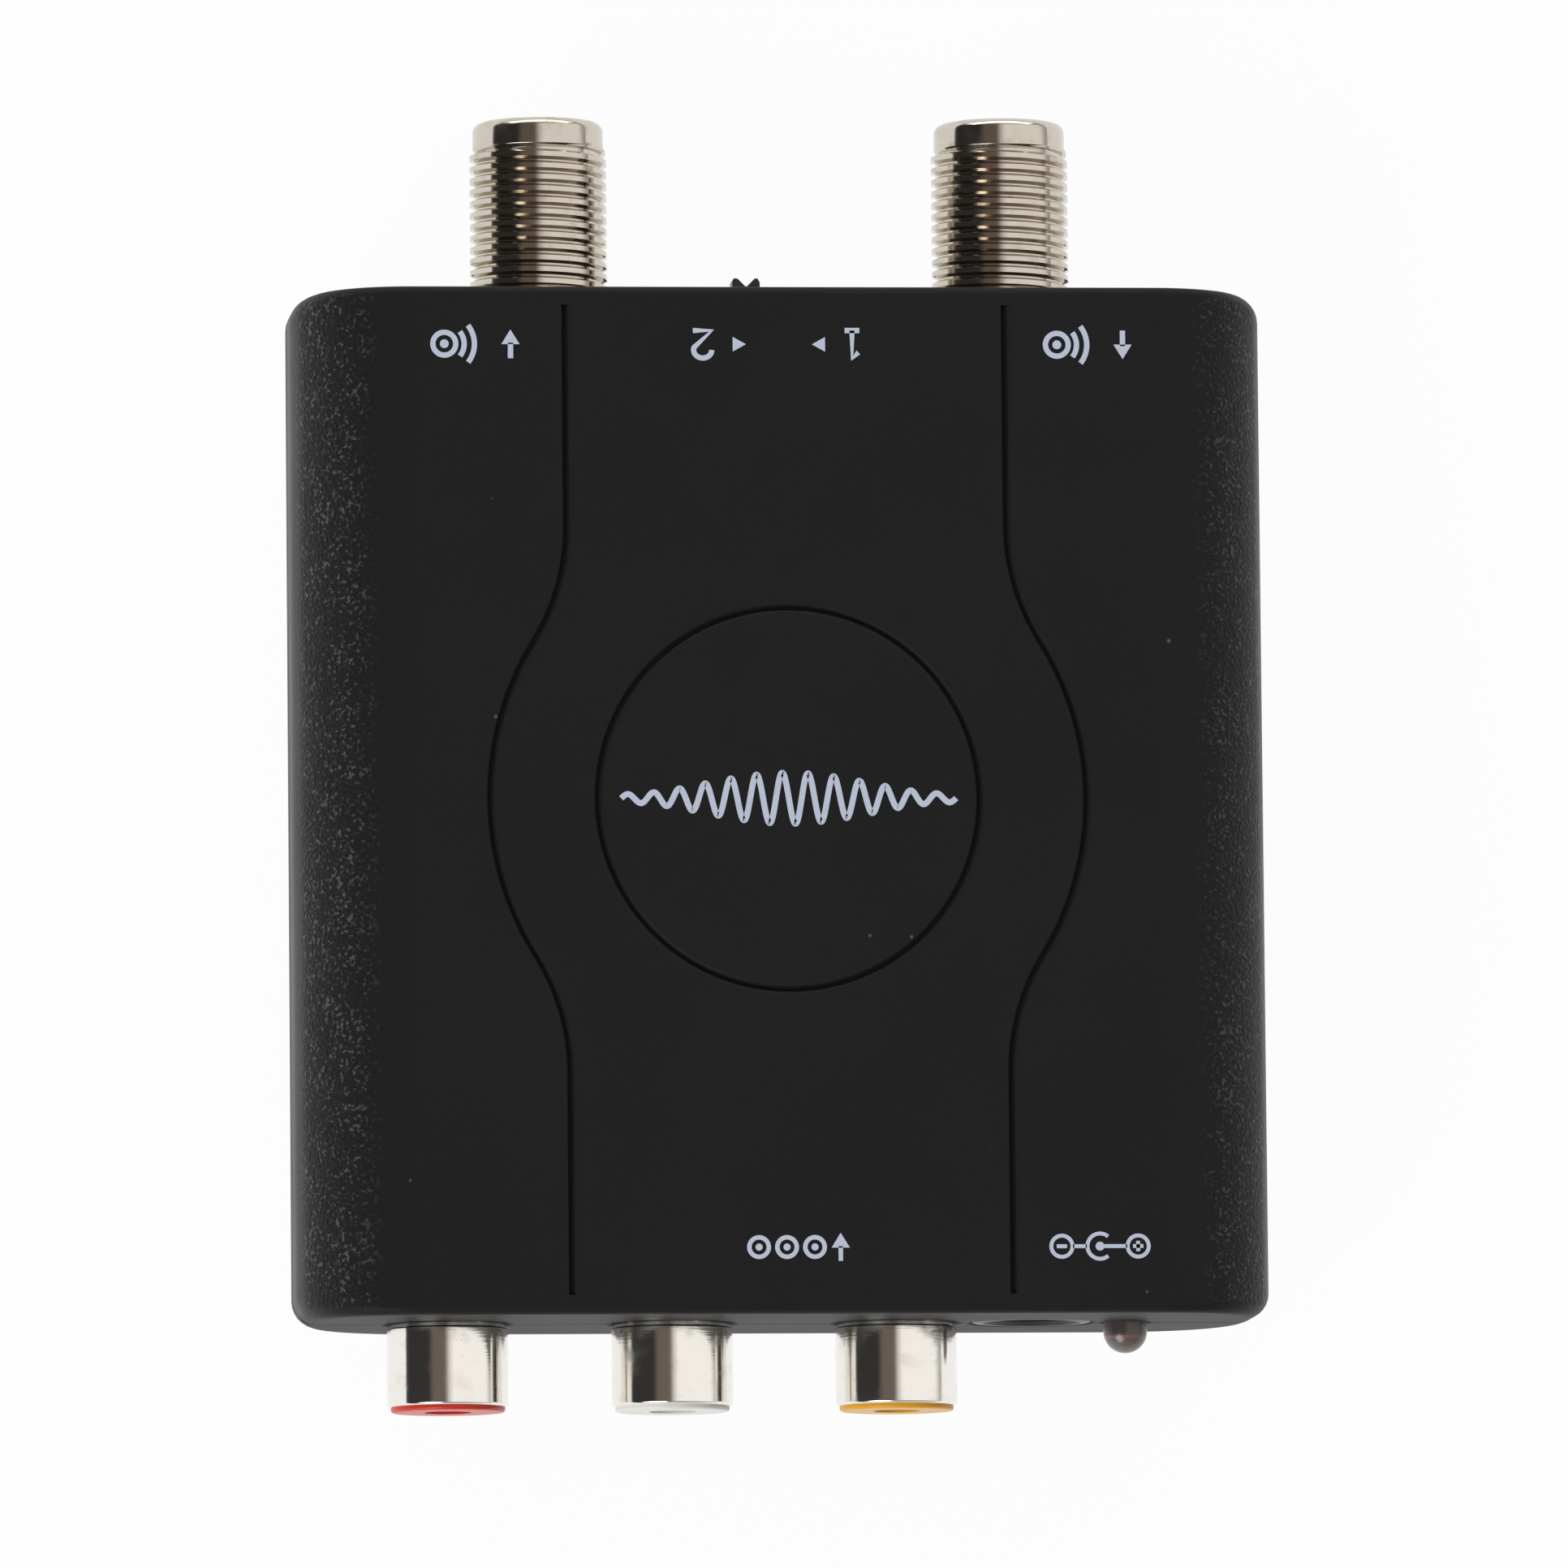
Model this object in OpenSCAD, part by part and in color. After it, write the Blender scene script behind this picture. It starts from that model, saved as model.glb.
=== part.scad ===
// A small moulded box that puts sound and picture on an aerial lead.
// The back wall has two threaded aerial sockets and a channel switch.
// The front wall has three phono sockets, a power socket and a power lamp.
// X runs across the case, Y towards the aerial sockets and Z up. The feet stand on z = 0.

/* [Case] */
// Width of the case across its curved sides
case_w = 66.5; // [65:0.5:80]
// Length of the case from front wall to back wall
case_l = 70; // [68:0.5:90]
// Height of the case without its feet
case_h = 22; // [21:0.5:30]
// Thickness of the case walls
case_wall = 1.8; // [1.4:0.1:2]
// Radius of the two long upper edges
case_top_r = 8; // [6:0.5:9]
// Radius of the two long lower edges
case_bottom_r = 10; // [8:0.5:10.5]
// Radius of the small rounding round both end walls
case_edge_r = 0.6; // [0.3:0.1:0.8]
// Height of the seam between the covers
seam_h = 11; // [10.5:0.5:13]
// Height of the lip that stands up inside the seam
lip_h = 1.2; // [0.8:0.1:1.6]
// Gap between the lip and its rebate
lip_gap = 0.1; // [0.05:0.05:0.2]

/* [Top grooves] */
// Width of the grooves in the top face
groove_w = 0.7; // [0.5:0.1:1]
// Depth of the grooves in the top face
groove_d = 0.4; // [0.2:0.1:0.6]
// Radius of the middle circle
circle_r = 13; // [10:0.5:16]
// Distance from the middle to each straight groove
line_x = 15; // [13:0.5:16]
// Radius of the bow that each straight groove makes round the circle
bow_r = 20.3; // [18:0.1:23]
// Radius that leads each straight groove into its bow
bow_lead_r = 15; // [12:0.5:18]
// Plain strip left between a groove's end and the end of the case
groove_end = 1.3; // [1:0.1:4]

/* [Screws and feet] */
// Distance from a screw to the side of the case
screw_side = 12.25; // [12:0.25:13]
// Distance from a screw to the end of the case
screw_end = 19; // [18.8:0.1:20.5]
// Outer radius of a screw's thread
screw_r = 1.15; // [1:0.05:1.3]
// Length of a screw under its head
screw_l = 10; // [8:0.5:12]
// Radius of a screw's head
screw_head_r = 2; // [1.8:0.1:2.1]
// Height of a screw's head
screw_head_h = 1.3; // [1:0.1:1.4]
// Outer radius of a post under the top cover
post_r = 3; // [2.4:0.1:3.1]
// Radius of a rubber foot
foot_r = 4; // [3:0.25:4.5]
// Distance from a foot's middle to the side of the case
foot_side = 14.75; // [14.75:0.25:18]
// Distance from a foot's middle to the end of the case
foot_end = 7.5; // [6:0.25:9]
// Height of a foot under the case
foot_out = 0.8; // [0.5:0.1:1.5]
// Depth of a foot's recess
foot_in = 0.5; // [0.3:0.1:0.8]

/* [Circuit board] */
// Thickness of the circuit board
board_t = 1.6; // [1:0.2:1.6]
// Height of the board's underside over the outside of the case
board_lift = 3.2; // [3:0.1:4]
// Height of the socket axes over the board
board_drop = 6.2; // [5.8:0.1:6.6]
// Gap between the board's long edges and the case
board_side_gap = 0.3; // [0.2:0.1:1]
// Gap between the board's short edges and the end walls
board_end_gap = 0.7; // [0.3:0.1:1]

/* [Aerial sockets] */
// Distance between the two aerial sockets
aerial_spacing = 31.8; // [30:0.2:34]
// Length of an aerial socket outside the case
aerial_out = 12.5; // [8:0.5:16]
// Outer radius of the aerial thread
aerial_r = 4.7; // [4.5:0.05:4.8]
// Pitch of the aerial thread
aerial_pitch = 0.794; // [0.7:0.002:1]
// Depth of the aerial thread
aerial_thread_d = 0.42; // [0.3:0.02:0.5]
// Length of the smooth nose
aerial_nose = 1.9; // [1.5:0.1:2.5]
// Radius of the nose's rounded rim
aerial_rim_r = 0.8; // [0.4:0.1:0.9]
// Radius of the bore inside the body
aerial_bore_r = 3.2; // [2.8:0.1:3.3]
// Width of the square base on the board
aerial_base_w = 11; // [10:0.2:11.6]
// Length of the square base on the board
aerial_base_l = 10; // [8:0.5:12]
// Outer radius of the spring contact
aerial_contact_r = 1.1; // [1:0.05:1.3]
// Radius of the hole in the spring contact
aerial_hole_r = 0.55; // [0.45:0.05:0.6]

/* [Phono sockets] */
// Distance between neighbouring phono sockets
phono_pitch = 15.35; // [14.8:0.05:15.6]
// Distance from the first phono housing to the inside of the case at the board's height
phono_side_gap = 2.2; // [1.8:0.1:3.2]
// Length of a phono socket outside the case
phono_out = 6; // [5:0.5:9]
// Outer radius of the metal sleeve
phono_r = 4.15; // [4:0.05:4.2]
// Thickness of the metal sleeve
phono_sleeve_t = 0.5; // [0.3:0.05:0.6]
// Radius of the hole for a plug's pin
phono_hole_r = 1.6; // [1.5:0.05:1.7]
// Thickness of the coloured flange at the tip
phono_flange_t = 0.35; // [0.2:0.05:0.5]
// Width of a phono housing
phono_w = 9.4; // [9:0.1:9.6]
// Length of a phono housing
phono_l = 10; // [8:0.5:11]
// Height of a phono housing over its axis
phono_top = 5.2; // [4.8:0.1:5.6]

/* [Power socket and lamp] */
// Gap between the housings that stand side by side
housing_gap = 0.2; // [0.1:0.05:0.3]
// Width of the power socket's housing
power_w = 8.8; // [8.6:0.1:9.2]
// Length of the power socket's housing
power_l = 13.6; // [12:0.1:13.7]
// Height of the power socket's housing over its axis
power_top = 4.5; // [4.4:0.1:5.5]
// Radius of the round nose in the front wall
power_nose_r = 4.1; // [3.9:0.05:4.2]
// Radius of the hole for the plug
power_bore_r = 3.15; // [3:0.05:3.2]
// Depth of the hole for the plug
power_depth = 9.5; // [8.5:0.1:10]
// Radius of the centre pin
power_pin_r = 1; // [0.9:0.05:1.25]
// Distance from the front wall to the tip of the centre pin
power_pin_in = 1.2; // [0.6:0.1:2]
// Radius of the lamp's lens
lamp_r = 1.5; // [1.3:0.05:1.6]
// Radius of the lamp's flange
lamp_flange_r = 1.85; // [1.7:0.05:2]
// Length of the lens outside the case
lamp_out = 2.1; // [1.6:0.1:3]

/* [Channel switch] */
// Distance from the middle of the case to the middle of the switch
switch_offset = 0.4; // [0:0.1:1]
// Travel of the knob between the two channels
switch_travel = 2; // [1.6:0.1:2.2]
// Width of the knob along its travel
knob_w = 1.9; // [1.6:0.1:2]
// Height of the knob
knob_h = 2; // [1.6:0.1:2.4]
// Length of the knob outside the case
knob_out = 2.2; // [1.6:0.1:3]
// Depth of the notch between the knob's two teeth
knob_notch = 0.55; // [0.3:0.05:0.7]
// Width of the switch's metal frame
switch_w = 8.6; // [8.2:0.1:9.4]
// Depth of the switch's metal frame
switch_l = 4.5; // [4.5:0.1:5.5]
// Height of the switch's metal frame
switch_h = 5.6; // [5.2:0.1:6]

/* [Radio screen] */
// Width of the screening can
screen_w = 24; // [22:0.5:26]
// Length of the screening can
screen_l = 17; // [16:0.5:18]
// Height of the screening can's walls
screen_h = 5.4; // [5:0.1:6]
// Thickness of the screening sheet
screen_t = 0.3; // [0.2:0.05:0.4]
// Width of the modulator chip's body
chip_w = 3.9; // [3.5:0.1:4.4]
// Length of the modulator chip's body
chip_l = 9.9; // [9.4:0.1:10.4]
// Height of the modulator chip's body
chip_h = 1.45; // [1.2:0.05:1.8]
// Length of the crystal's can
crystal_l = 10.2; // [9:0.1:11.2]
// Width of the crystal's can
crystal_w = 3.8; // [3.4:0.1:4.4]
// Height of the crystal's can
crystal_h = 3.4; // [2.5:0.1:4]
// Radius of a tuning coil
coil_r = 1.5; // [1.2:0.1:1.7]
// Height of a tuning coil
coil_h = 3; // [2.4:0.1:3.6]

/* [Power supply] */
// Radius of an electrolytic capacitor
capacitor_r = 2.5; // [2:0.1:2.8]
// Height of an electrolytic capacitor
capacitor_h = 6.5; // [5:0.5:8]
// Width of the voltage regulator's body
regulator_w = 6.5; // [6:0.1:7]
// Length of the voltage regulator's body
regulator_l = 6.1; // [5.6:0.1:6.5]
// Height of the voltage regulator's body
regulator_h = 2.3; // [2:0.1:2.6]
// Length of the protection diode's body
diode_l = 4.3; // [4:0.1:4.8]
// Width of the protection diode's body
diode_w = 2.6; // [2.3:0.1:2.8]
// Height of the protection diode's body
diode_h = 2.1; // [1.8:0.1:2.4]

/* [Chip parts] */
// Length of a chip part
chip_part_l = 1.6; // [1:0.1:2]
// Width of a chip part
chip_part_w = 0.8; // [0.5:0.1:1.2]
// Height of a chip part
chip_part_h = 0.5; // [0.3:0.05:0.8]
// Distance between chip parts along X
chip_part_pitch_x = 3; // [2.6:0.1:3.2]
// Distance between chip parts along Y
chip_part_pitch_y = 2.4; // [2:0.1:2.7]

/* [Hidden] */
// Parts of the groove's width: how much wider the bow is on each side, and how far it laps over
bow_step_share = 0.03;
bow_lap_share = 0.3;
$fn = 64;

// Cuts reach this far past the face that they open
overrun = 1;
// Clearance of a hole round a socket that passes through a wall
wall_hole_gap = 0.2;
// Clearance of a hole in the board round a lead
lead_hole_gap = 0.15;
// Width and thickness of a flat lead
lead_w = 1.2;
lead_t = 0.4;
// Length of a lead under the board
lead_tail = 0.8;
// Free space kept between groups of parts on the board
board_space = 1;

// Places along Z
board_under = board_lift;
board_top = board_under + board_t;
axis_z = board_top + board_drop;
lead_end = board_under - lead_tail;

// Inside of the case
inner_front = -case_l / 2 + case_wall;
inner_back = case_l / 2 - case_wall;
outer_front = -case_l / 2;
outer_back = case_l / 2;
inner_bottom_r = case_bottom_r - case_wall;

// Half width of the inside of the case at a height below its lower curves' ends
function inner_half(z) =
    z > case_bottom_r
        ? case_w / 2 - case_wall
        : case_w / 2 - case_bottom_r + sqrt(pow(inner_bottom_r, 2) - pow(case_bottom_r - z, 2));

board_w = 2 * (inner_half(board_under) - board_side_gap);
board_l = inner_back - inner_front - 2 * board_end_gap;

// Screws, posts and bosses
screw_x = case_w / 2 - screw_side;
screw_y = case_l / 2 - screw_end;
screw_hole_gap = 0.2;
screw_fit = 0.02;
screw_tip_gap = 0.6;
screw_head_gap = 0.3;
// Plastic left between a screw's head and the board
boss_floor = 1.6;
boss_wall = 1.1;
screw_seat = board_under - boss_floor;
head_hole_r = screw_head_r + screw_head_gap;
boss_r = head_hole_r + boss_wall;
recess_w = 0.5;
recess_d = 0.7;
recess_share = 1.3;
foot_gap = 0.1;

// Bare recess for a label under the case
label_w = 30;
label_l = 20;
label_d = 0.3;

// Aerial sockets
aerial_tip = outer_back + aerial_out;
aerial_base_back = inner_back - aerial_base_l;
aerial_base_top = aerial_base_w / 2;
aerial_crest_share = 0.35;
aerial_flank_share = 0.15;
aerial_nose_r = aerial_r - aerial_thread_d / 2;
aerial_turns = floor((aerial_out - aerial_nose) / aerial_pitch);
aerial_thread_start = aerial_tip - aerial_nose - aerial_turns * aerial_pitch;
aerial_face_in = 0.5;
aerial_contact_in = 1.2;
aerial_lead_in = 0.35;
aerial_bore_floor = 2;
aerial_rear_bore_r = 2;
aerial_tail_r = 0.5;
aerial_hole_l = 9;
aerial_slit = 0.2;
aerial_leg_r = 0.6;
aerial_leg_in = 1.3;
aerial_leg_places = [
    for (i = [-1, 1], j = [0, 1])
        [
            i * (aerial_base_w / 2 - aerial_leg_in),
            aerial_base_back + aerial_leg_in
                + j * (aerial_base_l - board_end_gap - 2 * aerial_leg_in)
        ]
];

// Phono sockets
phono_red_x = -(inner_half(board_top) - phono_side_gap - phono_w / 2);
phono_white_x = phono_red_x + phono_pitch;
phono_yellow_x = phono_white_x + phono_pitch;
phono_tip = outer_front - phono_out;
phono_seat = 2.2;
phono_sleeve_back = inner_front + phono_seat;
phono_sleeve_in_r = phono_r - phono_sleeve_t;
// The sleeve is this much slimmer from just outside the wall inwards
phono_neck_step = 0.2;
phono_neck_out = 0.3;
phono_neck_r = phono_r - phono_neck_step;
phono_flange_r = phono_r - phono_sleeve_t / 2;
phono_rim_r = 0.2;
phono_lip = 1;
phono_contact_t = 0.4;
phono_contact_r = phono_hole_r + phono_contact_t;
phono_tail_r = 0.9;
phono_back = inner_front + phono_l;
phono_leg_w = 2;
phono_leg_y = phono_sleeve_back - lead_t;

// Power socket
power_x = phono_yellow_x + phono_w / 2 + housing_gap + power_w / 2;
power_back = inner_front + power_l;
power_floor = outer_front + power_depth;
// The centre pin is this much slimmer where the housing holds it
power_pin_step = 0.2;
power_pin_neck_r = power_pin_r - power_pin_step;
power_spring_t = 0.3;
power_spring_w = 2;
power_spring_gap = 0.1;
power_spring_in = 1.5;
power_spring_rise = 0.35;
power_spring_z = axis_z - power_bore_r + power_spring_rise;

// Power lamp
lamp_x = power_x + power_w / 2 + housing_gap + lamp_flange_r;
lamp_flange_t = 1;
lamp_back = inner_front + lamp_flange_t;
lamp_tip = outer_front - lamp_out;
lamp_lead_pitch = 2.54;
lamp_lead_t = 0.5;
lamp_lead_y = lamp_back + lamp_lead_t;

// Channel switch
switch_x = -switch_offset;
knob_x = switch_x - switch_travel / 2;
switch_t = 0.3;
slide_gap = 0.15;
switch_z = board_top + switch_h / 2;
switch_front = inner_back;
switch_back = switch_front - switch_l;
slider_t = 1.4;
slider_w = switch_w - 2 * switch_t - switch_travel - 2 * slide_gap;
slider_h = switch_h - 2 * switch_t - 2 * slide_gap;
slider_front = switch_front - switch_t - slide_gap;
slider_back = slider_front - slider_t;
contact_t = 0.2;
contact_bump = 0.25;
contact_w = slider_w - 4 * slide_gap;
contact_h = 2.4;
contact_finger_h = 0.8;
pad_t = 0.15;
pad_top = slider_back - contact_t - contact_bump - slide_gap;
base_top = pad_top - pad_t;
terminal_w = 1;
terminal_h = 0.6;
terminal_pitch = switch_travel;
knob_slot_gap = 0.4;
knob_frame_gap = 0.2;
switch_leg_w = 1;

// Radio screen
screen_y = aerial_base_back - 2 * lead_t - board_space - screen_l / 2;
screen_gap = 0.05;
screen_skirt = 1.6;
screen_tab_w = 1.5;
chip_place_share = [-0.27, 0];
crystal_place_share = [0.17, -0.24];
coil_place_share = [0.17, 0.16];
coil_pitch = 5;
coil_foot_h = 0.6;
chip_lead_pitch = 1.27;
chip_lead_w = 0.4;
chip_lead_t = 0.2;
chip_lead_out = 1.05;
chip_lead_rows = 7;
chip_stand = 0.15;
crystal_foot = 0.5;
crystal_rim = 0.5;

// Power supply
capacitor_count = 4;
capacitor_pitch = 2 * capacitor_r + board_space;
capacitor_x = -screw_x + post_r + board_space + capacitor_r;
capacitor_y = phono_back + lead_t + board_space + capacitor_r;
capacitor_neck_z = 1.2;
capacitor_neck_d = 0.2;
capacitor_rim_r = 0.4;
capacitor_lead_pitch = 2;
capacitor_lead_r = 0.25;
supply_x = screw_x - post_r - board_space - regulator_w / 2;
diode_y = power_back + lead_t + board_space + diode_w / 2;
diode_lead_t = 0.3;
diode_lead_out = 0.5;
diode_lead_w = 1.5;
regulator_tab = 1.2;
regulator_tab_t = 0.5;
regulator_tab_side = 0.6;
regulator_lead = 2.6;
regulator_lead_w = 0.8;
regulator_lead_t = 0.5;
regulator_lead_pitch = 2.3;
regulator_y = diode_y + diode_w / 2 + board_space + regulator_lead + regulator_l / 2;

// Chip parts
chip_part_columns = 7;
chip_part_rows = 4;
chip_part_x = capacitor_x;
chip_part_y = capacitor_y + capacitor_r + board_space + chip_part_w;

// The case's middle lies this far behind the middle of the whole object's length
case_y = (phono_out - aerial_out) / 2;

// Puts a piece drawn in the case's own frame at its place over the ground
module placed() {
    translate([0, case_y, foot_out]) children();
}

// A cylinder along Y from one place to another
module rod_y(x, y0, y1, z, r) {
    translate([x, y0, z]) rotate([-90, 0, 0]) cylinder(r = r, h = y1 - y0);
}

// A box given by its middle in X, its ends in Y and its ends in Z
module block(x, w, y0, y1, z0, z1) {
    translate([x - w / 2, y0, z0]) cube([w, y1 - y0, z1 - z0]);
}

// A flat rectangle with four round corners
module round_rect(w, l, r) {
    square([w - 2 * r, l], center = true);
    square([w, l - 2 * r], center = true);
    for (i = [-1, 1], j = [-1, 1]) {
        translate([i * (w / 2 - r), j * (l / 2 - r)]) circle(r = r);
    }
}

// A quarter of a disc along Y whose rims are rounded: one long edge of the case
module case_corner(r, l, e) {
    rotate([90, 0, 0]) rotate_extrude(angle = 90) {
        intersection() {
            round_rect(2 * r, l, e);
            translate([0, -l / 2]) square([r, l]);
        }
    }
}

// The flat part between two corners, with rounded rims at both ends
module case_flat(w, l, h, e) {
    rotate([90, 0, 90]) linear_extrude(w, center = true) {
        intersection() {
            round_rect(l, 2 * h, e);
            translate([-l / 2, 0]) square([l, h]);
        }
    }
}

// The solid outer form of the case
module case_form() {
    for (i = [0, 1]) mirror([i, 0, 0]) {
        translate([case_w / 2 - case_top_r, 0, case_h - case_top_r])
            case_corner(case_top_r, case_l, case_edge_r);
        translate([case_w / 2 - case_bottom_r, 0, case_bottom_r])
            mirror([0, 0, 1]) case_corner(case_bottom_r, case_l, case_edge_r);
    }
    translate([0, 0, case_h - case_top_r])
        case_flat(case_w - 2 * case_top_r, case_l, case_top_r, case_edge_r);
    translate([0, 0, case_bottom_r]) mirror([0, 0, 1])
        case_flat(case_w - 2 * case_bottom_r, case_l, case_bottom_r, case_edge_r);
    translate([0, 0, case_bottom_r]) linear_extrude(case_h - case_top_r - case_bottom_r)
        round_rect(case_w, case_l, case_edge_r);
}

// The outline of the case seen from its end, drawn inwards by a distance
module end_outline(inset) {
    top_r = case_top_r - inset;
    bottom_r = case_bottom_r - inset;
    half = case_w / 2 - inset;
    translate([-half, case_bottom_r]) square([2 * half, case_h - case_top_r - case_bottom_r]);
    translate([-half + top_r, case_bottom_r])
        square([2 * (half - top_r), case_h - case_bottom_r - inset]);
    translate([-half + bottom_r, inset])
        square([2 * (half - bottom_r), case_h - case_top_r - inset]);
    for (i = [-1, 1]) {
        translate([i * (half - top_r), case_h - case_top_r]) circle(r = top_r);
        translate([i * (half - bottom_r), case_bottom_r]) circle(r = bottom_r);
    }
}

// A plain solid that lies inside the case form by a distance on every side
module inner_form(inset) {
    rotate([90, 0, 0]) linear_extrude(case_l - 2 * inset, center = true) end_outline(inset);
}

// Everything between two heights
module layer(z0, z1) {
    block(0, case_w + 2 * overrun, -case_l, case_l, z0, z1);
}

// The lip's ring, with a clearance taken off or added on its outside
module lip_ring(z1, clearance) {
    difference() {
        intersection() {
            inner_form(case_wall / 2 + clearance);
            layer(seam_h, z1);
        }
        inner_form(case_wall);
    }
}

// The holes for all sockets, the lamp and the knob
module wall_holes() {
    for (i = [-1, 1]) {
        rod_y(
            i * aerial_spacing / 2, inner_back - overrun, outer_back + overrun,
            axis_z, aerial_r + wall_hole_gap
        );
    }
    for (x = [phono_red_x, phono_white_x, phono_yellow_x]) {
        rod_y(x, outer_front - overrun, inner_front + overrun, axis_z, phono_r + wall_hole_gap);
    }
    rod_y(
        power_x, outer_front - overrun, inner_front + overrun,
        axis_z, power_nose_r + wall_hole_gap
    );
    rod_y(lamp_x, outer_front - overrun, inner_front + overrun, axis_z, lamp_r + wall_hole_gap);
    block(
        switch_x, knob_w + switch_travel + 2 * knob_slot_gap,
        inner_back - overrun, outer_back + overrun,
        switch_z - knob_h / 2 - knob_slot_gap, switch_z + knob_h / 2 + knob_slot_gap
    );
}

// Repeats a piece at the four screws
module at_screws() {
    for (i = [-1, 1], j = [-1, 1]) translate([i * screw_x, j * screw_y, 0]) children();
}

// A flat ring round a circle, reaching as far inwards as outwards
module groove_ring(r, reach) {
    difference() {
        circle(r = r + reach);
        circle(r = r - reach);
    }
}

// A flat wedge with its point at the origin, between two directions
module wedge(l, from, to) {
    polygon([[0, 0], [l * cos(from), l * sin(from)], [l * cos(to), l * sin(to)]]);
}

// Both long grooves: straight at their ends, led outwards and bowed round the circle. The bowed
// parts are a trace wider and lap over the leads, so that no two ends meet in one line.
module bowed_grooves() {
    lead_x = line_x + bow_lead_r;
    lead_y = sqrt(pow(bow_r + bow_lead_r, 2) - pow(lead_x, 2));
    turn = atan2(lead_y, lead_x);
    lap = asin(bow_lap_share * groove_w / bow_r);
    for (i = [0, 1]) mirror([i, 0]) {
        intersection() {
            groove_ring(bow_r, groove_w / 2 + bow_step_share * groove_w);
            wedge(2 * bow_r, -turn - lap, turn + lap);
        }
        for (j = [0, 1]) mirror([0, j]) {
            translate([lead_x, lead_y]) intersection() {
                groove_ring(bow_lead_r, groove_w / 2);
                wedge(2 * bow_lead_r, 180, 180 + turn);
            }
            translate([line_x - groove_w / 2, lead_y])
                square([groove_w, case_l / 2 - groove_end - lead_y]);
        }
    }
}

module top_grooves() {
    translate([0, 0, case_h - groove_d]) linear_extrude(groove_d + overrun) {
        groove_ring(circle_r, groove_w / 2);
        bowed_grooves();
    }
}

module top_cover() {
    color([0.09, 0.09, 0.1]) placed() difference() {
        union() {
            difference() {
                intersection() {
                    case_form();
                    layer(seam_h, case_h + overrun);
                }
                inner_form(case_wall);
                intersection() {
                    inner_form(case_wall / 2);
                    layer(seam_h - overrun, seam_h + lip_h + lip_gap);
                }
            }
            at_screws() translate([0, 0, board_top])
                cylinder(r = post_r, h = case_h - case_wall / 2 - board_top);
        }
        at_screws() translate([0, 0, board_top - overrun])
            cylinder(
                r = screw_r + screw_fit,
                h = screw_seat + screw_l + screw_tip_gap - board_top + overrun
            );
        wall_holes();
        top_grooves();
    }
}

module bottom_cover() {
    color([0.07, 0.07, 0.08]) placed() difference() {
        union() {
            difference() {
                intersection() {
                    case_form();
                    layer(-overrun, seam_h);
                }
                inner_form(case_wall);
            }
            lip_ring(seam_h + lip_h, lip_gap);
            at_screws() translate([0, 0, case_wall / 2])
                cylinder(r = boss_r, h = board_under - case_wall / 2);
        }
        at_screws() {
            translate([0, 0, -overrun])
                cylinder(r = screw_r + screw_hole_gap, h = board_under + 2 * overrun);
            translate([0, 0, -overrun]) cylinder(r = head_hole_r, h = screw_seat + overrun);
        }
        for (i = [-1, 1], j = [-1, 1]) {
            translate([i * (case_w / 2 - foot_side), j * (case_l / 2 - foot_end), -overrun])
                cylinder(r = foot_r + foot_gap, h = foot_in + overrun);
        }
        block(0, label_w, -label_l / 2, label_l / 2, -overrun, label_d);
        wall_holes();
    }
}

module case_screws() {
    color([0.72, 0.72, 0.74]) placed() at_screws() difference() {
        union() {
            translate([0, 0, screw_seat]) cylinder(r = screw_r, h = screw_l);
            translate([0, 0, screw_seat - screw_head_h])
                cylinder(r = screw_head_r, h = screw_head_h);
        }
        for (a = [0, 90]) rotate([0, 0, a])
            block(
                0, recess_share * screw_head_r, -recess_w / 2, recess_w / 2,
                screw_seat - screw_head_h - overrun, screw_seat - screw_head_h + recess_d
            );
    }
}

module rubber_feet() {
    color([0.05, 0.05, 0.05]) placed()
        for (i = [-1, 1], j = [-1, 1]) {
            translate([i * (case_w / 2 - foot_side), j * (case_l / 2 - foot_end), -foot_out])
                cylinder(r = foot_r, h = foot_out + foot_in);
        }
}

// A hole through the board for a round lead
module board_hole(x, y, r) {
    translate([x, y, board_under - overrun]) cylinder(r = r, h = board_t + 2 * overrun);
}

// A slot through the board for a flat lead that spans a width and two places along Y
module board_slot(x, w, y0, y1) {
    block(
        x, w + 2 * lead_hole_gap, y0 - lead_hole_gap, y1 + lead_hole_gap,
        board_under - overrun, board_top + overrun
    );
}

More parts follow.
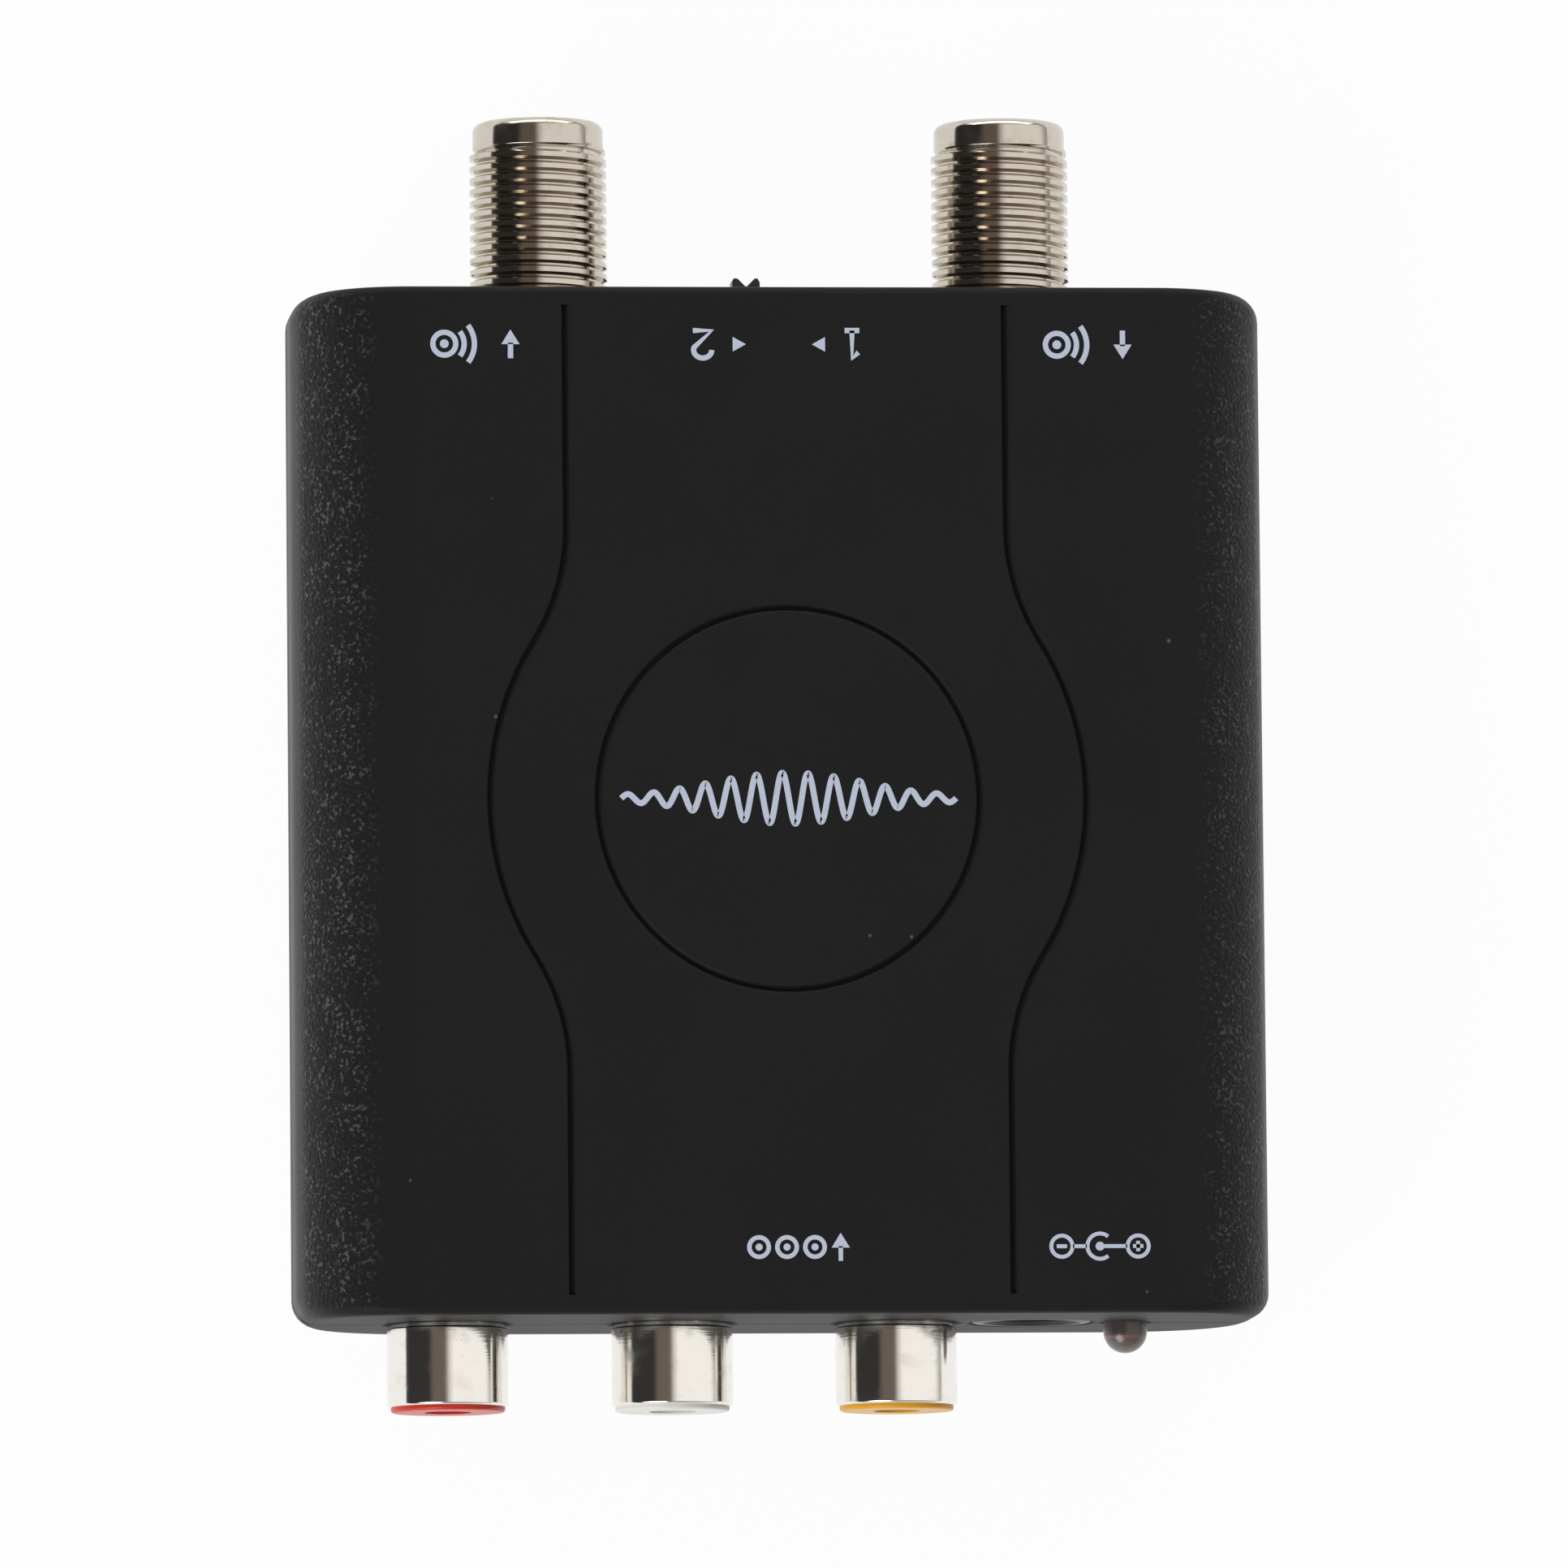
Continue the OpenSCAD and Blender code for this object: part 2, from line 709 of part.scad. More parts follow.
module board_holes() {
    at_screws() translate([0, 0, board_under - overrun])
        cylinder(r = screw_r + screw_hole_gap, h = board_t + 2 * overrun);
    for (i = [-1, 1]) {
        for (p = aerial_leg_places) {
            board_hole(i * aerial_spacing / 2 + p[0], p[1], aerial_leg_r + lead_hole_gap);
        }
        board_slot(i * aerial_spacing / 2, lead_w, aerial_base_back - 2 * lead_t, aerial_base_back);
    }
    for (x = [phono_red_x, phono_white_x, phono_yellow_x]) {
        board_slot(x, phono_leg_w, phono_leg_y, phono_sleeve_back);
        board_slot(x, lead_w, phono_back, phono_back + lead_t);
    }
    board_slot(power_x, lead_w, power_back, power_back + lead_t);
    board_slot(
        power_x, power_spring_w, power_floor - power_spring_in,
        power_floor - power_spring_in + power_spring_t
    );
    for (i = [-1, 1]) {
        board_slot(lamp_x + i * lamp_lead_pitch / 2, lamp_lead_t, lamp_lead_y, lamp_lead_y + lamp_lead_t);
        board_slot(
            switch_x + i * (switch_w - switch_t) / 2, switch_t,
            switch_back, switch_back + switch_leg_w
        );
        board_slot(
            i * (screen_w - screen_t) / 2, screen_t,
            screen_y - screen_tab_w / 2, screen_y + screen_tab_w / 2
        );
    }
    for (i = [-1:1]) {
        board_slot(switch_x + i * terminal_pitch, terminal_w, switch_back - lead_t, switch_back);
    }
    for (i = [0:capacitor_count - 1], j = [-1, 1]) {
        board_hole(
            capacitor_x + i * capacitor_pitch + j * capacitor_lead_pitch / 2,
            capacitor_y, capacitor_lead_r + lead_hole_gap
        );
    }
}

module circuit_board() {
    color([0.1, 0.35, 0.2]) placed() difference() {
        block(0, board_w, -board_l / 2, board_l / 2, board_under, board_top);
        board_holes();
    }
}

// Half of the aerial body's section: X is the radius and Y the distance along the socket
function thread_points(i) =
    let (
        y = aerial_thread_start + i * aerial_pitch,
        root = aerial_r - aerial_thread_d,
        crest_l = aerial_crest_share * aerial_pitch,
        flank_l = aerial_flank_share * aerial_pitch
    )
    [
        [aerial_r, y],
        [aerial_r, y + crest_l],
        [root, y + crest_l + flank_l],
        [root, y + aerial_pitch - flank_l]
    ];

module aerial_section() {
    difference() {
        union() {
            polygon(concat(
                [
                    [0, inner_back - overrun],
                    [aerial_nose_r, inner_back - overrun],
                    [aerial_nose_r, aerial_thread_start]
                ],
                [for (i = [0:aerial_turns - 1]) each thread_points(i)],
                [
                    [aerial_nose_r, aerial_tip - aerial_nose],
                    [aerial_nose_r, aerial_tip - aerial_rim_r],
                    [0, aerial_tip - aerial_rim_r]
                ]
            ));
            translate([0, aerial_tip - aerial_rim_r])
                square([aerial_nose_r - aerial_rim_r, aerial_rim_r]);
            intersection() {
                translate([aerial_nose_r - aerial_rim_r, aerial_tip - aerial_rim_r])
                    circle(r = aerial_rim_r);
                translate([0, aerial_tip - aerial_rim_r]) square([aerial_r, aerial_rim_r]);
            }
        }
        translate([0, inner_back - 2 * overrun])
            square([aerial_bore_r, aerial_tip - inner_back + 3 * overrun]);
    }
}

// Turns a section about the socket's axis, which lies along Y
module turned_y(x, z) {
    translate([x, 0, z]) rotate([90, 0, 0]) mirror([0, 0, 1]) rotate_extrude() children();
}

module aerial_body(x) {
    color([0.72, 0.68, 0.62]) placed() {
        turned_y(x, axis_z) aerial_section();
        difference() {
            block(
                x, aerial_base_w, aerial_base_back, inner_back,
                board_top, axis_z + aerial_base_top
            );
            rod_y(
                x, aerial_base_back + aerial_bore_floor, inner_back + overrun,
                axis_z, aerial_bore_r
            );
            rod_y(x, aerial_base_back - overrun, inner_back, axis_z, aerial_rear_bore_r);
        }
        for (p = aerial_leg_places) {
            translate([x + p[0], p[1], lead_end])
                cylinder(r = aerial_leg_r, h = board_top - lead_end + overrun);
        }
    }
}

module aerial_insulator(x) {
    color([0.93, 0.91, 0.85]) placed() difference() {
        union() {
            rod_y(
                x, aerial_base_back + aerial_bore_floor, aerial_tip - aerial_face_in,
                axis_z, aerial_bore_r
            );
            rod_y(
                x, aerial_base_back, aerial_base_back + aerial_bore_floor,
                axis_z, aerial_rear_bore_r
            );
        }
        rod_y(
            x, aerial_base_back - overrun, aerial_tip - aerial_face_in - aerial_contact_in,
            axis_z, aerial_contact_r
        );
        rod_y(
            x, aerial_base_back, aerial_tip + overrun,
            axis_z, aerial_hole_r + aerial_lead_in
        );
    }
}

module aerial_contact(x) {
    front = aerial_tip - aerial_face_in - aerial_contact_in;
    color([0.85, 0.7, 0.4]) placed() {
        difference() {
            rod_y(x, aerial_base_back, front, axis_z, aerial_contact_r);
            rod_y(x, front - aerial_hole_l, front + overrun, axis_z, aerial_hole_r);
            block(
                x, aerial_slit, front - aerial_hole_l, front + overrun,
                axis_z - 2 * aerial_contact_r, axis_z + 2 * aerial_contact_r
            );
        }
        rod_y(x, aerial_base_back - lead_t, aerial_base_back, axis_z, aerial_tail_r);
        block(
            x, lead_w, aerial_base_back - 2 * lead_t, aerial_base_back - lead_t,
            lead_end, axis_z + aerial_tail_r
        );
    }
}

module phono_housing(x) {
    color([0.08, 0.08, 0.09]) placed() difference() {
        block(x, phono_w, inner_front, phono_back, board_top, axis_z + phono_top);
        rod_y(x, inner_front - overrun, phono_sleeve_back, axis_z, phono_neck_r);
        rod_y(x, inner_front, phono_back + overrun, axis_z, phono_tail_r);
        block(
            x, phono_leg_w, phono_leg_y, phono_sleeve_back,
            board_top - overrun, axis_z - phono_r + phono_sleeve_t
        );
    }
}

module phono_sleeve(x) {
    front = phono_tip + phono_flange_t;
    color([0.86, 0.85, 0.82]) placed() {
        difference() {
            union() {
                rod_y(x, front, outer_front - phono_neck_out, axis_z, phono_r);
                rod_y(x, front, phono_sleeve_back, axis_z, phono_neck_r);
                block(
                    x, phono_leg_w, phono_leg_y, phono_sleeve_back,
                    lead_end, axis_z - phono_r + phono_sleeve_t
                );
            }
            rod_y(x, front - overrun, phono_sleeve_back + overrun, axis_z, phono_sleeve_in_r);
        }
    }
}

module phono_insulator(x, tint) {
    color(tint) placed() turned_y(x, axis_z) difference() {
        union() {
            translate([0, phono_tip + phono_rim_r])
                square([phono_sleeve_in_r, phono_sleeve_back - phono_tip - phono_rim_r]);
            translate([0, phono_tip + phono_rim_r])
                square([phono_flange_r, phono_flange_t - phono_rim_r]);
            translate([0, phono_tip]) square([phono_flange_r - phono_rim_r, phono_flange_t]);
            intersection() {
                translate([phono_flange_r - phono_rim_r, phono_tip + phono_rim_r])
                    circle(r = phono_rim_r);
                translate([0, phono_tip]) square([phono_r, phono_rim_r]);
            }
        }
        translate([0, phono_tip - overrun]) square([phono_hole_r, phono_lip + 2 * overrun]);
        translate([0, phono_tip + phono_lip])
            square([phono_contact_r, phono_sleeve_back - phono_tip]);
    }
}

module phono_contact(x) {
    color([0.88, 0.76, 0.46]) placed() {
        difference() {
            rod_y(x, phono_tip + phono_lip, phono_sleeve_back, axis_z, phono_contact_r);
            rod_y(
                x, phono_tip, phono_sleeve_back - phono_contact_t,
                axis_z, phono_hole_r
            );
        }
        rod_y(x, phono_sleeve_back, phono_back, axis_z, phono_tail_r);
        block(x, lead_w, phono_back, phono_back + lead_t, lead_end, axis_z + phono_tail_r);
    }
}

module power_socket_housing() {
    color([0.06, 0.06, 0.07]) placed() difference() {
        union() {
            block(power_x, power_w, inner_front, power_back, board_top, axis_z + power_top);
            rod_y(power_x, outer_front, inner_front, axis_z, power_nose_r);
        }
        rod_y(power_x, outer_front - overrun, power_floor, axis_z, power_bore_r);
        rod_y(power_x, outer_front, power_back + overrun, axis_z, power_pin_neck_r);
        power_spring_room(power_spring_gap);
    }
}

// The room that the side spring takes, grown by a clearance
module power_spring_room(gap) {
    block(
        power_x, power_spring_w + 2 * gap,
        outer_front + power_spring_in, power_floor - power_spring_in + power_spring_t + gap,
        power_spring_z - power_spring_t - gap, power_spring_z
    );
    block(
        power_x, power_spring_w + 2 * gap,
        power_floor - power_spring_in - gap, power_floor - power_spring_in + power_spring_t + gap,
        board_top - overrun, power_spring_z
    );
}

module power_socket_pin() {
    color([0.86, 0.85, 0.82]) placed() {
        rod_y(power_x, outer_front + power_pin_in, power_floor, axis_z, power_pin_r);
        rod_y(power_x, power_floor, power_back, axis_z, power_pin_neck_r);
        block(power_x, lead_w, power_back, power_back + lead_t, lead_end, axis_z + power_pin_neck_r);
    }
}

module power_socket_spring() {
    color([0.86, 0.85, 0.82]) placed() {
        block(
            power_x, power_spring_w,
            outer_front + power_spring_in, power_floor - power_spring_in + power_spring_t,
            power_spring_z - power_spring_t, power_spring_z
        );
        block(
            power_x, power_spring_w,
            power_floor - power_spring_in, power_floor - power_spring_in + power_spring_t,
            lead_end, power_spring_z - power_spring_t
        );
    }
}

module power_lamp_lens() {
    color([0.55, 0.5, 0.5]) placed() {
        rod_y(lamp_x, inner_front, lamp_back, axis_z, lamp_flange_r);
        rod_y(lamp_x, lamp_tip + lamp_r, inner_front, axis_z, lamp_r);
        turned_y(lamp_x, axis_z) intersection() {
            translate([0, lamp_tip + lamp_r]) circle(r = lamp_r);
            translate([0, lamp_tip]) square([lamp_r, lamp_r]);
        }
    }
}

module power_lamp_leads() {
    color([0.8, 0.8, 0.8]) placed() for (i = [-1, 1]) {
        x = lamp_x + i * lamp_lead_pitch / 2;
        block(x, lamp_lead_t, lamp_back, lamp_lead_y, axis_z - lamp_lead_t, axis_z);
        block(x, lamp_lead_t, lamp_lead_y, lamp_lead_y + lamp_lead_t, lead_end, axis_z);
    }
}

module switch_frame() {
    color([0.75, 0.75, 0.76]) placed() {
        difference() {
            block(switch_x, switch_w, switch_back, switch_front, board_top, board_top + switch_h);
            block(
                switch_x, switch_w - 2 * switch_t, switch_back - overrun, switch_front - switch_t,
                board_top + switch_t, board_top + switch_h - switch_t
            );
            block(
                switch_x, knob_w + switch_travel + 2 * knob_frame_gap,
                switch_front - 2 * switch_t, switch_front + overrun,
                switch_z - knob_h / 2 - knob_frame_gap, switch_z + knob_h / 2 + knob_frame_gap
            );
        }
        for (i = [-1, 1]) {
            block(
                switch_x + i * (switch_w - switch_t) / 2, switch_t,
                switch_back, switch_back + switch_leg_w, lead_end, board_top
            );
        }
    }
}

// The three terminals: a pad on the base, a stem through it and a leg behind it
module terminal(x, gap) {
    block(
        x, terminal_w + 2 * gap, switch_back - gap, base_top + gap,
        switch_z - terminal_h / 2 - gap, switch_z + terminal_h / 2 + gap
    );
}

module switch_terminals() {
    color([0.85, 0.78, 0.6]) placed() for (i = [-1:1]) {
        x = switch_x + i * terminal_pitch;
        terminal(x, 0);
        block(
            x, terminal_w, base_top, pad_top,
            switch_z - terminal_h / 2, switch_z + terminal_h / 2
        );
        block(
            x, terminal_w, switch_back - lead_t, switch_back,
            lead_end, switch_z + terminal_h / 2
        );
    }
}

module switch_base() {
    color([0.45, 0.3, 0.18]) placed() difference() {
        block(
            switch_x, switch_w - 2 * switch_t, switch_back, base_top,
            board_top + switch_t, board_top + switch_h - switch_t
        );
        for (i = [-1:1]) {
            block(
                switch_x + i * terminal_pitch, terminal_w,
                switch_back - overrun, base_top + overrun,
                switch_z - terminal_h / 2, switch_z + terminal_h / 2
            );
        }
    }
}

module switch_knob() {
    tip = outer_back + knob_out;
    color([0.05, 0.05, 0.05]) placed() difference() {
        union() {
            block(
                knob_x, slider_w, slider_back, slider_front,
                switch_z - slider_h / 2, switch_z + slider_h / 2
            );
            block(knob_x, knob_w, slider_front, tip, switch_z - knob_h / 2, switch_z + knob_h / 2);
        }
        translate([knob_x, 0, switch_z - knob_h]) linear_extrude(2 * knob_h)
            polygon([
                [0, tip - knob_notch],
                [knob_w / 2 - knob_notch / 2, tip + overrun],
                [-knob_w / 2 + knob_notch / 2, tip + overrun]
            ]);
    }
}

module switch_contact() {
    plate_back = slider_back - contact_t;
    color([0.88, 0.76, 0.46]) placed() {
        block(
            knob_x, contact_w, plate_back, slider_back,
            switch_z - contact_h / 2, switch_z + contact_h / 2
        );
        for (i = [-1, 1]) {
            block(
                knob_x + i * terminal_pitch / 2, terminal_w,
                plate_back - contact_bump, plate_back,
                switch_z - contact_finger_h / 2, switch_z + contact_finger_h / 2
            );
        }
    }
}

module screen_frame() {
    color([0.8, 0.8, 0.8]) placed() {
        difference() {
            block(
                0, screen_w, screen_y - screen_l / 2, screen_y + screen_l / 2,
                board_top, board_top + screen_h
            );
            block(
                0, screen_w - 2 * screen_t,
                screen_y - screen_l / 2 + screen_t, screen_y + screen_l / 2 - screen_t,
                board_top - overrun, board_top + screen_h + overrun
            );
        }
        for (i = [-1, 1]) {
            block(
                i * (screen_w - screen_t) / 2, screen_t,
                screen_y - screen_tab_w / 2, screen_y + screen_tab_w / 2, lead_end, board_top
            );
        }
    }
}

module screen_lid() {
    grow = screen_gap + screen_t;
    color([0.84, 0.84, 0.84]) placed() difference() {
        block(
            0, screen_w + 2 * grow,
            screen_y - screen_l / 2 - grow, screen_y + screen_l / 2 + grow,
            board_top + screen_h - screen_skirt, board_top + screen_h + screen_t
        );
        block(
            0, screen_w + 2 * screen_gap,
            screen_y - screen_l / 2 - screen_gap, screen_y + screen_l / 2 + screen_gap,
            board_top + screen_h - screen_skirt - overrun, board_top + screen_h
        );
    }
}

chip_x = chip_place_share[0] * screen_w;
chip_y = screen_y + chip_place_share[1] * screen_l;

module modulator_chip() {
    color([0.08, 0.08, 0.08]) placed()
        block(
            chip_x, chip_w, chip_y - chip_l / 2, chip_y + chip_l / 2,
            board_top + chip_stand, board_top + chip_stand + chip_h
        );
}

module modulator_chip_leads() {
    lead_z = board_top + chip_stand + chip_h / 2;
    color([0.8, 0.8, 0.8]) placed() for (i = [-1, 1], j = [0:chip_lead_rows]) {
        y = chip_y + (j - chip_lead_rows / 2) * chip_lead_pitch;
        side = chip_x + i * chip_w / 2;
        translate([side, y, 0]) mirror([i < 0 ? 1 : 0, 0, 0]) {
            block(
                chip_lead_out / 4, chip_lead_out / 2, -chip_lead_w / 2, chip_lead_w / 2,
                lead_z - chip_lead_t / 2, lead_z + chip_lead_t / 2
            );
            block(
                chip_lead_out / 2 - chip_lead_t / 2, chip_lead_t, -chip_lead_w / 2, chip_lead_w / 2,
                board_top, lead_z + chip_lead_t / 2
            );
            block(
                3 * chip_lead_out / 4 - chip_lead_t / 2, chip_lead_out / 2,
                -chip_lead_w / 2, chip_lead_w / 2, board_top, board_top + chip_lead_t
            );
        }
    }
}

// A flat oval standing on the board
module oval(l, w, z0, z1) {
    translate([0, 0, z0]) linear_extrude(z1 - z0) {
        square([l - w, w], center = true);
        for (i = [-1, 1]) translate([i * (l - w) / 2, 0]) circle(r = w / 2);
    }
}

module crystal() {
    place = [crystal_place_share[0] * screen_w, screen_y + crystal_place_share[1] * screen_l, 0];
    color([0.82, 0.82, 0.8]) placed() translate(place) {
        oval(crystal_l, crystal_w, board_top, board_top + crystal_foot);
        oval(
            crystal_l - crystal_rim, crystal_w - crystal_rim,
            board_top + crystal_foot, board_top + crystal_h
        );
    }
}

module tuning_coils() {
    x = coil_place_share[0] * screen_w;
    y = screen_y + coil_place_share[1] * screen_l;
    color([0.75, 0.42, 0.2]) placed() for (i = [-1, 1]) {
        translate([x + i * coil_pitch / 2, y, board_top]) {
            cylinder(r = coil_r, h = coil_h);
            translate([-coil_r, -coil_r, 0]) cube([2 * coil_r, 2 * coil_r, coil_foot_h]);
        }
    }
}

module voltage_regulator() {
    front = regulator_y - regulator_l / 2;
    back = regulator_y + regulator_l / 2;
    color([0.09, 0.09, 0.09]) placed() {
        block(supply_x, regulator_w, front, back, board_top, board_top + regulator_h);
        block(
            supply_x, regulator_w - 2 * regulator_tab_side, back, back + regulator_tab,
            board_top, board_top + regulator_tab_t
        );
        for (i = [-1, 1]) {
            block(
                supply_x + i * regulator_lead_pitch, regulator_lead_w,
                front - regulator_lead, front, board_top, board_top + regulator_lead_t
            );
        }
    }
}

module protection_diode() {
    color([0.1, 0.1, 0.1]) placed() {
        block(
            supply_x, diode_l, diode_y - diode_w / 2, diode_y + diode_w / 2,
            board_top + diode_lead_t, board_top + diode_h
        );
        block(
            supply_x, diode_l + 2 * diode_lead_out,
            diode_y - diode_lead_w / 2, diode_y + diode_lead_w / 2,
            board_top, board_top + diode_lead_t
        );
    }
}

module electrolytic_capacitors() {
    color([0.12, 0.16, 0.3]) placed() for (i = [0:capacitor_count - 1]) {
        translate([capacitor_x + i * capacitor_pitch, capacitor_y, 0]) {
            translate([0, 0, board_top]) rotate_extrude() {
                difference() {
                    union() {
                        square([capacitor_r, capacitor_h - capacitor_rim_r]);
                        square([capacitor_r - capacitor_rim_r, capacitor_h]);
                        translate([capacitor_r - capacitor_rim_r, capacitor_h - capacitor_rim_r])
                            circle(r = capacitor_rim_r);
                    }
                    translate([capacitor_r, capacitor_neck_z]) circle(r = capacitor_neck_d);
                }
            }
            for (j = [-1, 1]) translate([j * capacitor_lead_pitch / 2, 0, lead_end])
                cylinder(r = capacitor_lead_r, h = board_top - lead_end);
        }
    }
}

// Chip parts stand in a grid, and every second place is of one kind
module chip_grid(kind) {
    for (i = [0:chip_part_columns - 1], j = [0:chip_part_rows - 1]) {
        if ((i + j) % 2 == kind) {
            translate([chip_part_x + i * chip_part_pitch_x, chip_part_y + j * chip_part_pitch_y, 0])
                children();
        }
    }
}

module chip_capacitors() {
    color([0.72, 0.6, 0.45]) placed() chip_grid(0)
        block(
            0, chip_part_l, -chip_part_w / 2, chip_part_w / 2,
            board_top, board_top + chip_part_h
        );
}

module chip_resistors() {
    color([0.1, 0.1, 0.1]) placed() chip_grid(1)
        block(
            0, chip_part_l, -chip_part_w / 2, chip_part_w / 2,
            board_top, board_top + chip_part_h
        );
}

red_tint = [0.78, 0.1, 0.08];
white_tint = [0.92, 0.92, 0.9];
yellow_tint = [0.95, 0.75, 0.08];

module rf_out_body() { aerial_body(-aerial_spacing / 2); }
module rf_out_insulator() { aerial_insulator(-aerial_spacing / 2); }
module rf_out_contact() { aerial_contact(-aerial_spacing / 2); }
module rf_in_body() { aerial_body(aerial_spacing / 2); }
module rf_in_insulator() { aerial_insulator(aerial_spacing / 2); }
module rf_in_contact() { aerial_contact(aerial_spacing / 2); }

module red_phono_housing() { phono_housing(phono_red_x); }
module red_phono_sleeve() { phono_sleeve(phono_red_x); }
module red_phono_insulator() { phono_insulator(phono_red_x, red_tint); }
module red_phono_contact() { phono_contact(phono_red_x); }
module white_phono_housing() { phono_housing(phono_white_x); }
module white_phono_sleeve() { phono_sleeve(phono_white_x); }
module white_phono_insulator() { phono_insulator(phono_white_x, white_tint); }
module white_phono_contact() { phono_contact(phono_white_x); }
module yellow_phono_housing() { phono_housing(phono_yellow_x); }
module yellow_phono_sleeve() { phono_sleeve(phono_yellow_x); }
module yellow_phono_insulator() { phono_insulator(phono_yellow_x, yellow_tint); }
module yellow_phono_contact() { phono_contact(phono_yellow_x); }

top_cover();
bottom_cover();
case_screws();
rubber_feet();
circuit_board();
rf_out_body();
rf_out_insulator();
rf_out_contact();
rf_in_body();
rf_in_insulator();
rf_in_contact();
red_phono_housing();
red_phono_sleeve();
red_phono_insulator();
red_phono_contact();
white_phono_housing();
white_phono_sleeve();
white_phono_insulator();
white_phono_contact();
yellow_phono_housing();
yellow_phono_sleeve();
yellow_phono_insulator();
yellow_phono_contact();
power_socket_housing();
power_socket_pin();
power_socket_spring();
power_lamp_lens();
power_lamp_leads();
switch_frame();
switch_base();
switch_terminals();
switch_knob();
switch_contact();
screen_frame();
screen_lid();
modulator_chip();
modulator_chip_leads();
crystal();
tuning_coils();
voltage_regulator();
protection_diode();
electrolytic_capacitors();
chip_capacitors();
chip_resistors();
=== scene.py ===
"""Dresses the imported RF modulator: its covers, sockets, switch, lamp, board, prints and studio.

All sizes in the classes are millimetres in the case's own frame: X runs across the case, Y towards
the aerial sockets, Z up from the case's underside, and the case's middle is at X = 0, Y = 0.
"""

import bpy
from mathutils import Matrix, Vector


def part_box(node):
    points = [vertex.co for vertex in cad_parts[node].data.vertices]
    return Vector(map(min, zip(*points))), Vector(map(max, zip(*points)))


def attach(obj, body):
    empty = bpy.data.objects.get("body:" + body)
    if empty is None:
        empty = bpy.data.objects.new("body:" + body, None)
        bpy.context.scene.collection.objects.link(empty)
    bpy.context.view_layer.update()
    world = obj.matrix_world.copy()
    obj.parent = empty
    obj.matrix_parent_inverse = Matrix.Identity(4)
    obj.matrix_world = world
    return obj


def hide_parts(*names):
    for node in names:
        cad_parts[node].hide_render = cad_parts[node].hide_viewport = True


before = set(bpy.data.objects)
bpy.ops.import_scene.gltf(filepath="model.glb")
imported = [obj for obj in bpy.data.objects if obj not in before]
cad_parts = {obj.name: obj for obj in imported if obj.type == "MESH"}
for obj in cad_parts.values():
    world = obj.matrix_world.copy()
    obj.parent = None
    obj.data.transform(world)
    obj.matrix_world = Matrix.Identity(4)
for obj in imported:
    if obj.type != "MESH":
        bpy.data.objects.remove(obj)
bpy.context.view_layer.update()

import logging
import math
from contextlib import contextmanager
from dataclasses import dataclass
from enum import Enum
from functools import partialmethod, reduce
from typing import Any, Iterable, Iterator, Sequence

import bmesh
import bpy
from mathutils import Matrix, Vector

log = logging.getLogger("modulator")

MM = 0.001
QUARTER = math.pi / 2
Pair = tuple[float, float]
Triple = tuple[float, float, float]
Colour = tuple[float, float, float]
Pairs = Sequence[Pair]
Settings = dict[str, Any] | None
Feeds = dict[str | int, Any]

# Heights over the case's underside: the sockets' axis, the board's faces and its leads' lower ends.
AXIS = 11.0
BOARD_TOP = 4.8
BOARD_UNDER = 3.2
LEAD_END = 2.4


class Body(Enum):
    """The rigid bodies that a piece can ride on."""

    CASE = "case"
    KNOB = "channel_knob"


def case_origin() -> Vector:
    """Returns the case frame's origin in the row's frame, in metres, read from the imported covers."""
    low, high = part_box("top_cover")
    return Vector((0.0, (low.y + high.y) / 2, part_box("bottom_cover")[0].z))


ORIGIN = case_origin()


def srgb(*levels: int) -> Colour:
    """Turns a screen's red, green and blue, 0 to 255, into the linear colour that shaders use."""
    shares = [level / 255 for level in levels]
    return tuple(s / 12.92 if s <= 0.04045 else ((s + 0.055) / 1.055) ** 2.4 for s in shares)


def shade(colour: Colour, share: float) -> Colour:
    """Returns the colour made darker or lighter by a share."""
    return tuple(min(1.0, share * c) for c in colour)


class Graph:
    """A shader or geometry tree, and the one way in which this file adds nodes to it."""

    def __init__(self, tree: bpy.types.NodeTree) -> None:
        """Keeps the tree that the nodes go into."""
        self.tree = tree

    def node(self, kind: str, settings: Settings = None, feeds: Feeds | None = None) -> bpy.types.Node:
        """Adds a node.

        Args:
            kind: The node's type.
            settings: The node's own settings, set before its sockets are touched.
            feeds: What each input socket gets: a value, a signal or another node's socket.

        Returns:
            The new node.
        """
        made = self.tree.nodes.new(kind)
        for name, value in (settings or {}).items():
            setattr(made, name, value)
        for key, value in (feeds or {}).items():
            socket = made.inputs[key]
            if isinstance(value, Signal):
                self.tree.links.new(value.socket, socket)
            elif isinstance(value, bpy.types.NodeSocket):
                self.tree.links.new(value, socket)
            elif socket.type == "RGBA":
                socket.default_value = (*value[:3], 1.0)
            else:
                socket.default_value = value
        return made

    def signal(
        self,
        kind: str,
        settings: Settings = None,
        feeds: Feeds | None = None,
        output: str | int = 0,
    ) -> "Signal":
        """Adds a node, as node() does, and returns one of its outputs, ready for Python's operators."""
        return Signal(self, self.node(kind, settings, feeds).outputs[output])

    def blend(self, share: Any, first: Any, second: Any) -> "Signal":
        """Mixes two colours. The share, 0 to 1, says how much of the second one shows."""
        feeds = {0: share, 6: first, 7: second}
        return self.signal("ShaderNodeMix", {"data_type": "RGBA"}, feeds, 2)


